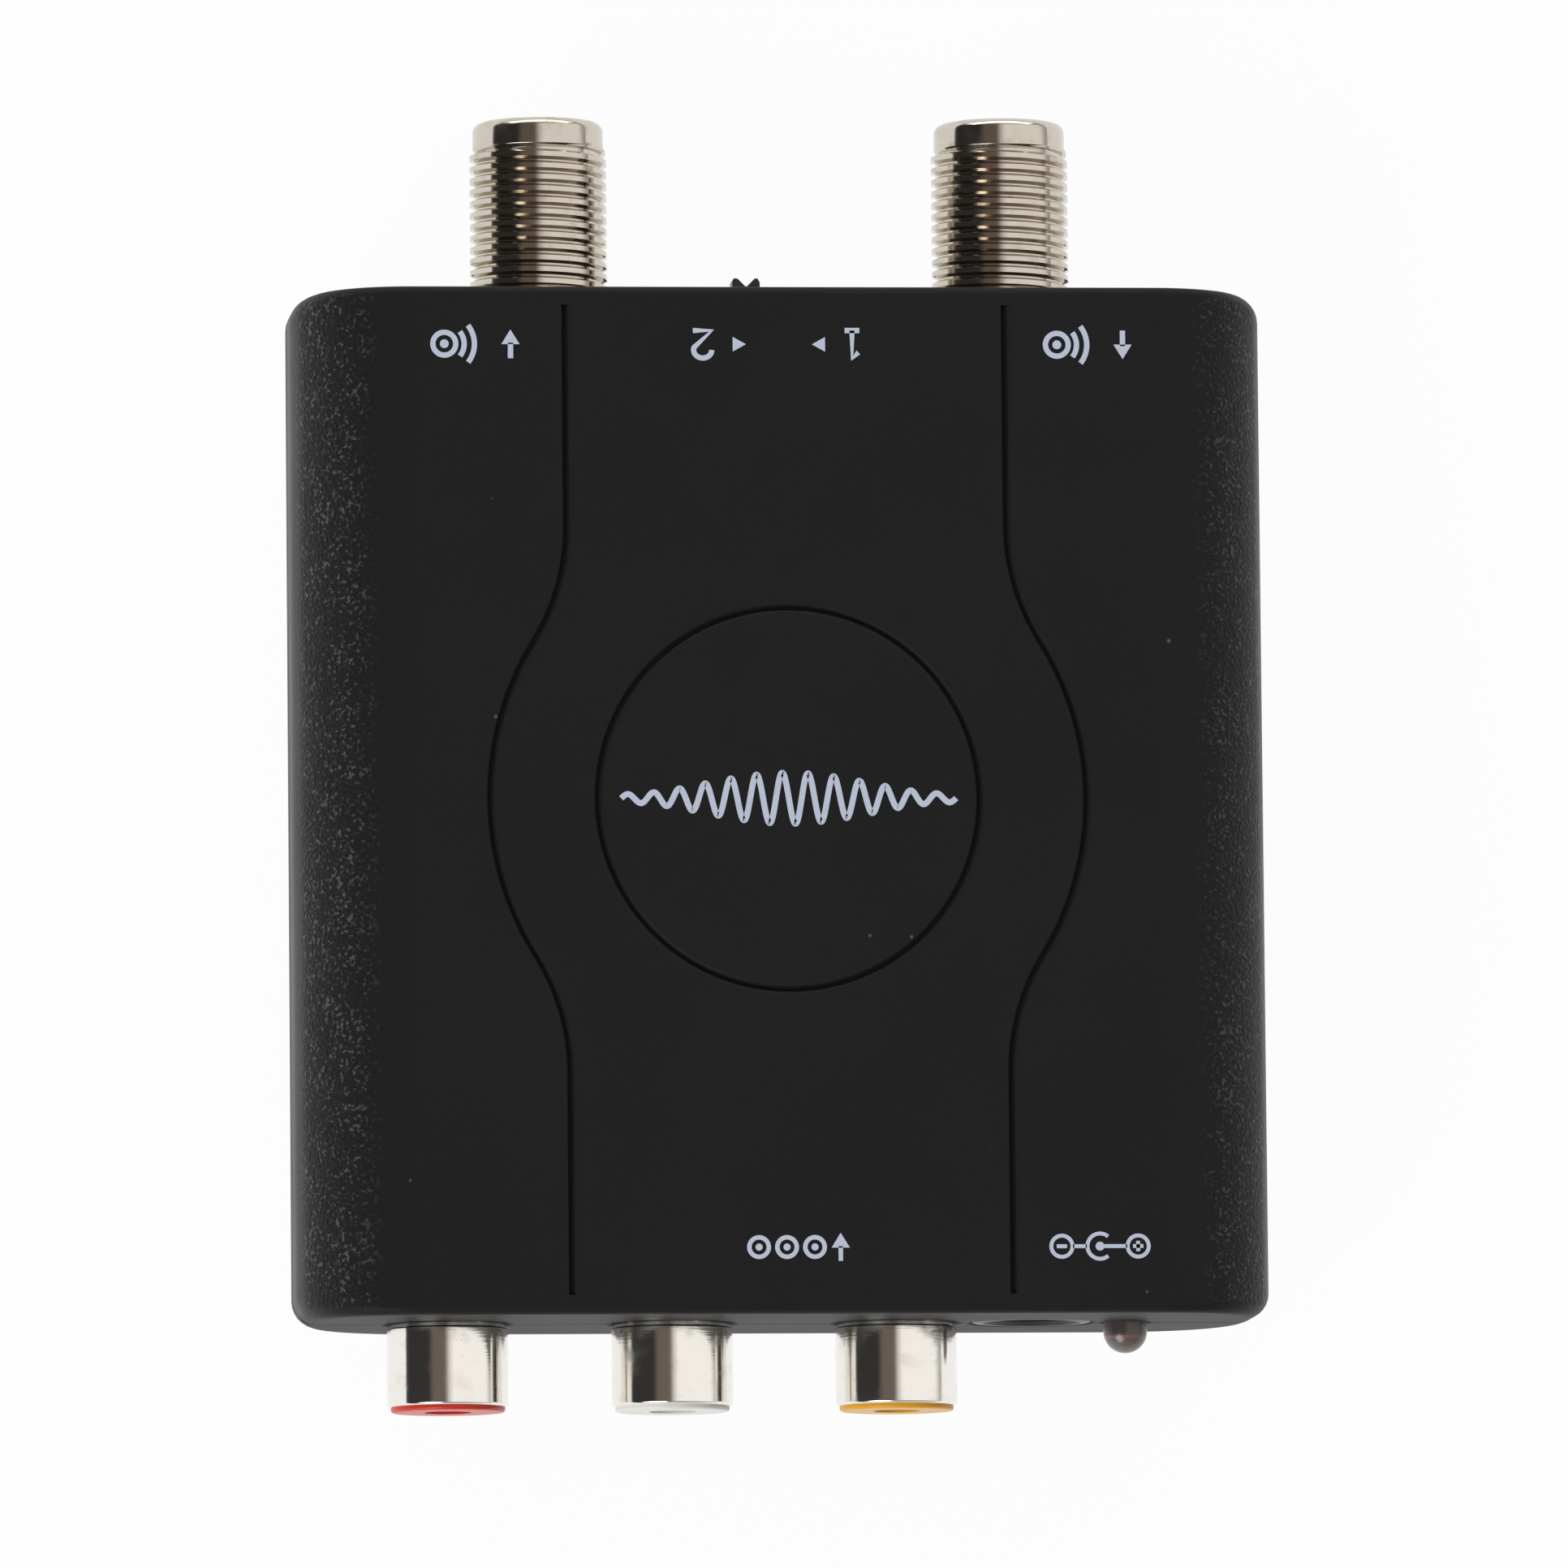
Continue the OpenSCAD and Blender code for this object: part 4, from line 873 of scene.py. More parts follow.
def as_object(data: bpy.types.ID, name: str) -> bpy.types.Object:
    """Links something to the scene as an object at the origin.

    Args:
        data: The mesh, curve, lamp or camera.
        name: The object's name.

    Returns:
        The object.
    """
    made = bpy.data.objects.new(name, data)
    bpy.context.scene.collection.objects.link(made)
    return made


def drop(thing: bpy.types.Object) -> None:
    """Removes a helper object from the scene."""
    bpy.data.objects.remove(thing, do_unlink=True)


def baked(thing: bpy.types.Object) -> bpy.types.Mesh:
    """Works out an object's modifiers.

    Args:
        thing: The object.

    Returns:
        What they leave, as a mesh of its own.
    """
    bpy.context.view_layer.update()
    seen = thing.evaluated_get(bpy.context.evaluated_depsgraph_get())
    return bpy.data.meshes.new_from_object(seen)


class Carve(Enum):
    """What a cutting step does with the second form."""

    CUT = "DIFFERENCE"
    JOIN = "UNION"


def carved(mesh: bpy.types.Mesh, *steps: tuple[Carve, Shape]) -> bpy.types.Mesh:
    """Cuts and joins closed forms in turn, and drops doubled points, which keeps cuts exact.

    Args:
        mesh: The first form.
        steps: What is cut or joined, in order.

    Returns:
        The mesh that is left.
    """
    base = as_object(mesh, "carving")
    for kind, shape in steps:
        tool = as_object(shape.mesh("tool"), "tool")
        cut = base.modifiers.new("carve", "BOOLEAN")
        cut.operation = kind.value
        cut.solver = "EXACT"
        cut.object = tool
        left = baked(base)
        base.modifiers.clear()
        with opened(left) as edits:
            bmesh.ops.remove_doubles(edits, verts=edits.verts, dist=0.0005 * MM)
            bmesh.ops.dissolve_degenerate(edits, edges=edits.edges, dist=0.0005 * MM)
        base.data = left
        drop(tool)
    out = base.data
    drop(base)
    return out


def merged(name: str, meshes: Sequence[bpy.types.Mesh]) -> bpy.types.Mesh:
    """Puts several meshes into one.

    Args:
        name: The new mesh's name.
        meshes: The meshes, which stay as they are.

    Returns:
        The new mesh.
    """
    out = bpy.data.meshes.new(name)
    with opened(out) as edits:
        for mesh in meshes:
            edits.from_mesh(mesh)
    return out


def add_piece(
    name: str,
    mesh: bpy.types.Mesh,
    finish: Finish,
    nodes: Sequence[str] = (),
    body: Body = Body.CASE,
    crease: float = 32.0,
) -> None:
    """Makes a finished piece, shades it and puts it on its body.

    Args:
        name: The piece's name.
        mesh: Its mesh, in the row's frame.
        finish: Its finish.
        nodes: The CAD nodes that it replaces.
        body: The body that it rides on.
        crease: The angle over which an edge stays sharp, in degrees.
    """
    piece = as_object(mesh, name)
    mesh.materials.clear()
    mesh.materials.append(finish.material())
    mesh.shade_smooth()
    mesh.set_sharp_from_angle(angle=math.radians(crease))
    weigh = piece.modifiers.new("weigh", "WEIGHTED_NORMAL")
    weigh.keep_sharp = True
    weigh.weight = 80
    shaded = baked(piece)
    piece.modifiers.clear()
    piece.data = shaded
    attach(piece, body.value)
    if nodes:
        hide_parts(*nodes)
    log.info("%s: %d faces", name, len(shaded.polygons))


def dress(finishes: dict[str, Finish], prefix: str = "") -> None:
    """Gives CAD nodes that keep their shapes a better finish.

    Args:
        finishes: Each node's finish.
        prefix: What each node's name starts with.
    """
    for node, finish in finishes.items():
        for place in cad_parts[prefix + node].material_slots:
            place.material = finish.material()
        log.info("%s: dressed", prefix + node)


class Growth(Graph):
    """A geometry tree with named inputs, grown on a carrier object and kept as a plain mesh."""

    def __init__(self, name: str, floats: Sequence[str] = (), others: dict[str, str] | None = None) -> None:
        """Makes the tree.

        Args:
            name: The tree's name.
            floats: The names of its number inputs.
            others: The type of each other named input.
        """
        tree = bpy.data.node_groups.new(name, "GeometryNodeTree")
        super().__init__(tree)
        for way in ("INPUT", "OUTPUT"):
            tree.interface.new_socket("Geometry", in_out=way, socket_type="NodeSocketGeometry")
        kinds = {**dict.fromkeys(floats, "NodeSocketFloat"), **(others or {})}
        for key, kind in {**kinds, "Finish": "NodeSocketMaterial"}.items():
            tree.interface.new_socket(key, in_out="INPUT", socket_type=kind)
        self.source = self.node("NodeGroupInput")
        self.sink = self.node("NodeGroupOutput")

    def asked(self, name: str) -> Signal:
        """Returns a named input as a signal."""
        return Signal(self, self.source.outputs[name])

    def close(self, geometry: Any) -> "Growth":
        """Ends the tree in real geometry with its finish set.

        Args:
            geometry: What the tree has grown.

        Returns:
            The growth itself.
        """
        real = self.signal("GeometryNodeRealizeInstances", None, {"Geometry": geometry})
        feeds = {"Geometry": real, "Material": self.asked("Finish")}
        dressed = self.signal("GeometryNodeSetMaterial", None, feeds)
        self.tree.links.new(dressed.socket, self.sink.inputs[0])
        return self

    def grow(self, data: bpy.types.ID, finish: Finish, values: dict[str, Any]) -> bpy.types.Mesh:
        """Runs the tree on starting geometry.

        Args:
            data: The mesh or curve that it starts from.
            finish: The finish of what grows.
            values: The value of each named input.

        Returns:
            The grown mesh.
        """
        carrier = as_object(data, "carrier")
        grower = carrier.modifiers.new("grow", "NODES")
        grower.node_group = self.tree
        values = {**values, "Finish": finish.material()}
        for item in self.tree.interface.items_tree:
            if item.name in values and item.in_out == "INPUT":
                grower[item.identifier] = values[item.name]
        grown = baked(carrier)
        drop(carrier)
        return grown


class Growths:
    """The geometry trees, each made once."""

    lengths: tuple[str, ...] = ("Pitch", "Root Radius", "Depth", "Crest Width", "Foot Width")
    fade_turns: float = 0.35
    thinnest: float = 0.02

    def __init__(self) -> None:
        """Makes the three trees."""
        self.thread = self.thread_tree()
        self.stroke = self.stroke_tree()
        self.repeat = self.repeat_tree()

    def thread_tree(self) -> Growth:
        """Makes the tree of a helical thread ridge that fades out at both of its ends.

        Returns:
            The tree.
        """
        growth = Growth("thread ridge", ("Turns", *self.lengths), {"Steps": "NodeSocketInt"})
        turns = growth.asked("Turns")
        pitch, root, depth, crest, foot = (growth.asked(name) for name in self.lengths)
        feeds = {"Resolution": growth.asked("Steps"), "Rotations": turns, "Height": turns * pitch}
        feeds.update({"Start Radius": root, "End Radius": root})
        spiral = growth.signal("GeometryNodeCurveSpiral", None, feeds)
        upright = growth.signal("GeometryNodeSetCurveNormal", {"mode": "Z_UP"}, {"Curve": spiral})
        along = growth.signal("GeometryNodeSplineParameter", output="Factor") * turns
        fade = along.smaller(turns - along) / self.fade_turns
        feeds = {"Height": depth * 2.0, "Bottom Width": foot, "Top Width": crest, "Offset": 0.0}
        kind = {"mode": "TRAPEZOID"}
        section = growth.signal("GeometryNodeCurvePrimitiveQuadrilateral", kind, feeds)
        feeds = {"Geometry": section, "Rotation": (0.0, 0.0, QUARTER)}
        turned = growth.signal("GeometryNodeTransform", None, feeds)
        feeds = {"Curve": upright, "Profile Curve": turned, "Fill Caps": True}
        feeds["Scale"] = fade.smaller(1.0).larger(self.thinnest)
        return growth.close(growth.signal("GeometryNodeCurveToMesh", None, feeds))

    def stroke_tree(self) -> Growth:
        """Makes the tree of a flat printed stroke that follows a curve.

        Returns:
            The tree.
        """
        growth = Growth("printed stroke", ("Width", "Thickness"))
        feeds = {"Curve": growth.asked("Geometry")}
        upright = growth.signal("GeometryNodeSetCurveNormal", {"mode": "Z_UP"}, feeds)
        feeds = {"Width": growth.asked("Width"), "Height": growth.asked("Thickness")}
        kind = {"mode": "RECTANGLE"}
        section = growth.signal("GeometryNodeCurvePrimitiveQuadrilateral", kind, feeds)
        feeds = {"Curve": upright, "Profile Curve": section, "Fill Caps": True}
        return growth.close(growth.signal("GeometryNodeCurveToMesh", None, feeds))

    def repeat_tree(self) -> Growth:
        """Makes the tree that puts a copy of one form on each of the carrier's points.

        Returns:
            The tree.
        """
        growth = Growth("repeated piece", ("Turn Step",), {"Form": "NodeSocketObject"})
        feeds = {"Object": growth.asked("Form")}
        form = growth.signal("GeometryNodeObjectInfo", None, feeds, "Geometry")
        turn = growth.signal("GeometryNodeInputIndex") * growth.asked("Turn Step")
        upright = growth.signal("ShaderNodeCombineXYZ", None, {"Z": turn})
        feeds = {"Mesh": growth.asked("Geometry")}
        points = growth.signal("GeometryNodeMeshToPoints", None, feeds)
        feeds = {"Points": points, "Instance": form, "Rotation": upright}
        return growth.close(growth.signal("GeometryNodeInstanceOnPoints", None, feeds))

    def threads(self, finish: Finish, turns: float, steps: int, lengths: Sequence[float]) -> bpy.types.Mesh:
        """Grows a thread ridge round the Z axis, from Z = 0 up, in metres.

        Args:
            finish: The ridge's finish.
            turns: The count of turns.
            steps: Points in a turn.
            lengths: Its sizes in millimetres, as the class lists them.

        Returns:
            The ridge's mesh.
        """
        values = {name: length * MM for name, length in zip(self.lengths, lengths)}
        values.update({"Turns": turns, "Steps": steps})
        return self.thread.grow(bpy.data.meshes.new("ridge"), finish, values)

    def repeated(
        self, form: bpy.types.Mesh, places: Sequence[Triple], finish: Finish, turn: float = 0.0
    ) -> bpy.types.Mesh:
        """Repeats a form at places in the case's frame.

        Args:
            form: The form's mesh, round the origin, in metres.
            places: The places in millimetres.
            finish: The finish.
            turn: How far each copy is turned on from the one before, in radians.

        Returns:
            One mesh with all copies.
        """
        single = as_object(form, "single")
        points = bpy.data.meshes.new("places")
        points.from_pydata([Vector(p) * MM + ORIGIN for p in places], [], [])
        grown = self.repeat.grow(points, finish, {"Form": single, "Turn Step": turn})
        drop(single)
        return grown


class Sockets:
    """The places of everything that passes through the end walls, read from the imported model."""

    tints: tuple[str, ...] = ("red", "white", "yellow")
    aerial_hole: float = 4.9
    phono_hole: float = 4.35
    power_hole: float = 4.3
    lamp_hole: float = 1.7
    slot: tuple[float, float, Pair, Pair] = (-0.4, 2.35, (32.0, 37.0), (6.2, 9.0))

    def __init__(self) -> None:
        """Reads the places across the case."""
        self.aerials = {name: self.middle(f"{name}_body") for name in ("rf_out", "rf_in")}
        self.phonos = {tint: self.middle(f"{tint}_phono_sleeve") for tint in self.tints}
        self.power = self.middle("power_socket_housing")
        self.lamp = self.middle("power_lamp_lens")

    @staticmethod
    def middle(node: str) -> float:
        """Returns a node's middle across the case, in millimetres."""
        low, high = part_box(node)
        return (low.x + high.x) / 2 / MM

    def holes(self) -> list[Triple]:
        """Lists the round holes.

        Returns:
            Each one's place across the case, its radius and its wall, 1 or -1.
        """
        holes = [(x, self.aerial_hole, 1.0) for x in self.aerials.values()]
        holes += [(x, self.phono_hole, -1.0) for x in self.phonos.values()]
        return [*holes, (self.power, self.power_hole, -1.0), (self.lamp, self.lamp_hole, -1.0)]


@dataclass
class Covers:
    """The two case covers, with their grooves, posts, holes and seam."""

    sockets: Sockets
    width: float = 66.5
    length: float = 70.0
    height: float = 22.0
    wall: float = 1.8
    top_radius: float = 8.0
    bottom_radius: float = 10.0
    top_edge: float = 0.6
    side_edge: float = 1.7
    edge_steps: int = 7
    seam: float = 11.0
    seam_chamfer: float = 0.14
    lip: float = 1.2
    gap: float = 0.1
    print_room: float = 0.03
    floor: float = 0.9
    post: float = 3.0
    boss: float = 3.4
    pilot: float = 1.17
    pilot_ends: Pair = (3.8, 12.2)
    screw_hole: float = 1.35
    screw_well: float = 2.3
    screw_sheet: float = 1.6
    hole_ends: Pair = (-4.0, 1.5)
    sink: float = 0.4
    sink_start: float = -0.18
    screw_x: float = 21.0
    screw_y: float = 16.0
    foot_x: float = 18.5
    foot_y: float = 27.5
    foot_well: float = 4.1
    foot_depth: float = 0.5
    label: Pair = (15.0, 10.0)
    label_depth: float = 0.3
    label_corner: float = 1.5
    cut_start: float = -1.0
    circle: float = 13.0
    line: float = 15.0
    bow: float = 20.3
    lead: float = 15.0
    groove_end: float = 1.3
    groove_half: float = 0.2
    groove_depth: float = 0.4

    def outline(self, upper: bool, steps: int = 28) -> list[tuple[float, float, float, float]]:
        """Half of the case's section, from one seam edge round to the other.

        Args:
            upper: True for the top cover's half.
            steps: Steps in each curved edge.

        Returns:
            The (x, z) points with their outward (x, z) directions.
        """
        half = self.width / 2
        radius = self.top_radius if upper else self.bottom_radius
        top = self.height - self.print_room if upper else 0.0
        way = 1.0 if upper else -1.0
        out = [
            (half - self.seam_chamfer, self.seam, 1.0, 0.0),
            (half, self.seam + way * self.seam_chamfer, 1.0, 0.0),
        ]
        for nx, nz in arc((0, 0), 1.0, 0.0, QUARTER, steps, way):
            out.append((half - radius + radius * nx, top - way * radius + radius * nz, nx, nz))
        return out + [(-x, z, -nx, nz) for x, z, nx, nz in reversed(out)]

    def shell(self, upper: bool) -> Shape:
        """Skins half of the solid outer form, with its end edges rounded.

        Args:
            upper: True for the top cover's half.

        Returns:
            The form.
        """
        rings: list[list[Triple]] = []
        turns = [QUARTER * k / self.edge_steps for k in range(self.edge_steps + 1)]
        for way, turn in [(-1.0, turn) for turn in reversed(turns)] + [(1.0, turn) for turn in turns]:
            ring: list[Triple] = []
            for x, z, nx, nz in self.outline(upper):
                edge = self.top_edge + (self.side_edge - self.top_edge) * nx**4
                inset = edge * (1 - math.cos(turn))
                y = self.length / 2 - edge * (1 - math.sin(turn))
                ring.append((x - nx * inset, way * y, z - nz * inset))
            rings.append(ring)
        return Shape().rings(rings)

    def prism(self, inset: float, low: float, high: float) -> Shape:
        """A plain form inside the case, cut off at two heights.

        Args:
            inset: How far inside the case's faces it lies.
            low: Its lowest height.
            high: Its highest height.

        Returns:
            The form.
        """
        half, top = self.width / 2 - inset, self.height - inset
        upper, lower = self.top_radius - inset, self.bottom_radius - inset
        ring = [(half, inset), (half, top), (-half, top), (-half, inset)]
        loop = rounded(ring, [lower, upper, upper, lower], True, 20)
        for limit, sign in ((low, 1.0), (high, -1.0)):
            loop = self.clipped(loop, limit, sign)
        reach = self.length / 2 - inset
        return Shape().rings([[(x, y, z) for x, z in loop] for y in (-reach, reach)])

    @staticmethod
    def clipped(loop: Pairs, limit: float, sign: float) -> list[Pair]:
        """Cuts a convex loop of (x, z) pairs off at a height.

        Args:
            loop: The loop.
            limit: The height.
            sign: 1 to keep what lies above it, -1 for what lies below.

        Returns:
            The loop that is left.
        """
        out: list[Pair] = []
        for (x0, z0), (x1, z1) in zip(loop, [*loop[1:], loop[0]]):
            starts, ends = sign * (z0 - limit) >= 0, sign * (z1 - limit) >= 0
            if starts:
                out.append((x0, z0))
            if starts != ends:
                out.append((x0 + (limit - z0) / (z1 - z0) * (x1 - x0), limit))
        return out

    def seam_lines(self) -> Shape:
        """Shapes the small vee along the seam on both end walls.

        Returns:
            The cutters.
        """
        lines = Shape()
        out, deep, reach = self.length / 2, self.seam_chamfer, self.width / 2 - self.side_edge
        low, high = self.seam - 2 * deep, self.seam + 2 * deep
        vee = [(out + deep, low), (out + deep, high), (out - deep, self.seam)]
        for way in (-1.0, 1.0):
            lines.rings([[(x, way * y, z) for y, z in vee] for x in (-reach, reach)])
        return lines

    def openings(self) -> Shape:
        """Shapes all wall holes, each round one with a small countersink outside.

        Returns:
            The cutters.
        """
        cutters = Shape()
        inside, outside = self.hole_ends
        for x, radius, way in self.sockets.holes():
            wide = radius + self.sink
            section = [(0, inside), (radius, inside), (radius, self.sink_start)]
            section += [(wide, self.sink_start + self.sink), (wide, outside), (0, outside)]
            line = [(r, way * (self.length / 2 + out)) for r, out in section]
            cutters.lathe(line, x)
        return cutters.block(*self.sockets.slot, 0.12)

    def groove_paths(self) -> list[list[Pair]]:
        """Lays out the circle and the two bowed grooves.

        Returns:
            Their middle lines.
        """
        lead_x = self.line + self.lead
        lead_y = math.sqrt((self.bow + self.lead) ** 2 - lead_x**2)
        turn = math.atan2(lead_y, lead_x)
        upper = [(self.line, self.length / 2 - self.groove_end), (self.line, lead_y + 0.6)]
        upper += arc((lead_x, lead_y), -self.lead, 0.0, turn, 12)
        bow = arc((0, 0), self.bow, turn, -turn, 40)[1:-1]
        right = upper + bow + [(x, -y) for x, y in reversed(upper)]
        ring = arc((0, 0), self.circle, 0.0, math.tau, 144)[:-1]
        return [ring, right, [(-x, y) for x, y in right]]

    def grooves(self) -> Shape:
        """Shapes the grooves, narrow at the bottom and soft at the shoulders.

        Returns:
            The cutters.
        """
        top = self.height - self.print_room
        half, depth, rim = self.groove_half, self.groove_depth, self.groove_half + 0.4
        side = [(rim, 0.015), (half + 0.2, -0.01), (half + 0.05, -0.03), (half, -0.07)]
        side += [(0.2 * half, -0.9 * depth), (0.08 * half, -depth)]
        profile = side + [(-x, z) for x, z in reversed(side)] + [(-rim, 1.0), (rim, 1.0)]
        cutters = Shape()
        for place, path in enumerate(self.groove_paths()):
            closed = place == 0
            rings: list[list[Triple]] = []
            for i, here in enumerate(path):
                back = path[i - 1] if closed or i else here
                ahead = path[(i + 1) % len(path)] if closed or i + 1 < len(path) else here
                way = (Vector(ahead) - Vector(back)).normalized()
                rings.append([(here[0] - way.y * o, here[1] + way.x * o, top + z) for o, z in profile])
            cutters.rings(rings, closed)
        return cutters

    def flared(self, radius: float, bend: float, depth: float) -> list[Pair]:
        """Returns the section line of a round recess whose soft rim changes its slope at the bend."""
        line = [(0, self.cut_start), (radius + 0.3, self.cut_start), (radius + 0.15, bend)]
        return line + [(radius, 0.3), (radius, depth), (0, depth)]

    def top(self) -> bpy.types.Mesh:
        """Shapes the top cover: its shell, rebate, posts, holes and grooves.

        Returns:
            The cover's mesh.
        """
        posts, bores = Shape(), Shape()
        line = drum(self.post, BOARD_TOP, self.height - self.wall / 2)
        for x, y, _ in four(self.screw_x, self.screw_y):
            posts.post(rounded(line, [0, 0.25, 0, 0], False), x, y)
            bores.post(drum(self.pilot, *self.pilot_ends), x, y, 32)
        return carved(
            self.shell(True).mesh("top cover"),
            (Carve.CUT, self.prism(self.wall, self.seam - 5, self.height)),
            (Carve.CUT, self.prism(self.wall / 2, self.seam - 1, self.seam + self.lip + self.gap)),
            (Carve.JOIN, posts),
            (Carve.CUT, bores),
            (Carve.CUT, self.openings()),
            (Carve.CUT, self.seam_lines()),
            (Carve.CUT, self.grooves()),
        )

    def bottom(self) -> bpy.types.Mesh:
        """Shapes the bottom cover: its shell, lip, bosses, recesses and holes.

        Returns:
            The cover's mesh.
        """
        bosses, bores, recesses = Shape(), Shape(), Shape()
        seat, hole_top = BOARD_UNDER - self.screw_sheet, BOARD_TOP + 0.4
        well = self.flared(self.screw_well, 0.15, seat)[:-1]
        hole = [(self.screw_hole, seat), (self.screw_hole, hole_top), (0, hole_top)]
        for x, y, _ in four(self.screw_x, self.screw_y):
            bosses.post(drum(self.boss, self.floor, BOARD_UNDER), x, y)
            bores.post(well + hole, x, y)
        for x, y, _ in four(self.foot_x, self.foot_y):
            recesses.post(self.flared(self.foot_well, 0.12, self.foot_depth), x, y)
        across, along = self.label
        label = [(-across, -along), (across, -along), (across, along), (-across, along)]
        recesses.slab(rounded(label, self.label_corner, True), self.cut_start, self.label_depth)
        return carved(
            self.shell(False).mesh("bottom cover"),
            (Carve.JOIN, self.prism(self.wall / 2 + self.gap, self.seam - 2, self.seam + self.lip)),
            (Carve.CUT, self.prism(self.wall, 0.0, self.seam + 5)),
            (Carve.JOIN, bosses),
            (Carve.CUT, bores),
            (Carve.CUT, recesses),
            (Carve.CUT, self.openings()),
            (Carve.CUT, self.seam_lines()),
        )

    def build(self) -> None:
        """Builds both covers."""
        add_piece("upper_cover", self.top(), FINISHES.upper, ["top_cover"])
        add_piece("lower_cover", self.bottom(), FINISHES.lower, ["bottom_cover"])


@dataclass
class AerialSocket:
    """A threaded aerial socket: its turned and threaded body, insulator and spring contact."""

    name: str
    x: float
    growths: Growths
    tip: float = 47.5
    back: float = 23.2
    wall: float = 33.2
    radius: float = 4.7
    depth: float = 0.42
    pitch: float = 0.794
    turns: int = 13
    crest: float = 0.42
    flank: float = 0.24
    run_out: float = 0.15
    nose: float = 1.9
    bore: float = 3.2
    rear_bore: float = 2.0
    base_half: float = 5.5
    leg_half: float = 4.2
    leg_radius: float = 0.6

    def core(self) -> bpy.types.Mesh:
        """Turns the smooth parts: neck, root, undercut, nose and bore.

        Returns:
            Their mesh.
        """
        root, collar = self.radius - self.depth, self.radius - self.depth / 2
        neck, thread_end = self.wall - 0.5, self.tip - self.nose
        start = self.tip - self.nose - self.turns * self.pitch
        corners = [(self.bore, neck), (collar, neck), (collar, start - 0.05), (root, start + 0.12)]
        corners += [(root, thread_end - 0.2), (collar, thread_end + 0.08)]
        corners += [(collar, self.tip), (self.bore, self.tip)]
        line = rounded(corners, [0, 0, 0.05, 0.05, 0.06, 0.08, 0.8, 0.22], True, 7)
        return Shape().lathe(line, self.x, 96, hollow=True).mesh("core")

    def ridge(self) -> bpy.types.Mesh:
        """Grows the helical thread and lays it along the socket's axis.

        Returns:
            The thread's mesh.
        """
        crest, foot = self.crest * self.pitch, (self.crest + 4 * self.flank) * self.pitch
        lengths = (self.pitch, self.radius - self.depth, self.depth, crest, foot)
        turns = self.turns + 2 * self.run_out
        made = self.growths.threads(FINISHES.nickel, turns, 96, lengths)
        start = self.tip - self.nose - (self.turns + self.run_out) * self.pitch
        place = ORIGIN + Vector((self.x, start, AXIS)) * MM
        made.transform(Matrix.Translation(place) @ Matrix.Rotation(-QUARTER, 4, "X"))
        return made

    def base(self) -> list[bpy.types.Mesh]:
        """Shapes the square cast base with its bore, and its four legs.

        Returns:
            The base's mesh and the legs' mesh.
        """
        along, up = (self.back, self.wall), (BOARD_TOP, AXIS + self.base_half)
        block = Shape().block(self.x, self.base_half, along, up, 0.35).mesh("base")
        bore = Shape().lathe(drum(self.bore, self.back + 2, self.wall + 1), self.x)
        rear = Shape().lathe(drum(self.rear_bore, self.back - 1, self.back + 3), self.x, 48)
        legs = Shape()
        leg = rounded(drum(self.leg_radius, LEAD_END, BOARD_TOP + 0.4), [0, 0.15, 0, 0], False)
        for x in (self.x - self.leg_half, self.x + self.leg_half):
            for y in (self.back + 1.3, self.wall - 2.0):
                legs.post(leg, x, y, 24)
        return [carved(block, (Carve.CUT, bore), (Carve.CUT, rear)), legs.mesh("legs")]

    def build(self) -> None:
        """Builds the socket's body and dresses its insulator and contact."""
        mesh = merged("body", [self.core(), self.ridge(), *self.base()])
        add_piece(f"{self.name}_threaded_body", mesh, FINISHES.nickel, [f"{self.name}_body"])
        dress({"insulator": FINISHES.insulator, "contact": FINISHES.brass}, f"{self.name}_")


@dataclass
class PhonoSocket:
    """A phono socket: rolled metal sleeve, coloured insulator, centre contact and housing."""

    tint: str
    x: float
    tip: float = -41.0
    seat: float = -31.0
    step: float = -35.3
    radius: float = 4.15
    neck: float = 3.95
    sheet: float = 0.5
    flange: float = 0.35
    tail_half: float = 1.0
    tail_sheet: float = 0.4

    def build(self) -> None:
        """Builds the sleeve and dresses the CAD pieces."""
        inner, front = self.radius - self.sheet, self.tip + self.flange
        corners = [(inner, self.seat), (self.neck, self.seat), (self.neck, self.step)]
        corners += [(self.radius, self.step), (self.radius, front), (inner, front)]
        line = rounded(corners, [0, 0.1, 0.05, 0.08, 0.2, 0.12], True, 6)
        shape = Shape().lathe(line, self.x, 96, hollow=True)
        along, up = (self.seat - self.tail_sheet, self.seat), (LEAD_END, AXIS - inner)
        shape.block(self.x, self.tail_half, along, up, 0.08)
        mesh = shape.mesh("sleeve")
        add_piece(f"{self.tint}_phono_barrel", mesh, FINISHES.sleeve, [f"{self.tint}_phono_sleeve"])
        kept = {"insulator": getattr(FINISHES, self.tint), "housing": FINISHES.housing}
        dress({**kept, "contact": FINISHES.brass}, f"{self.tint}_phono_")


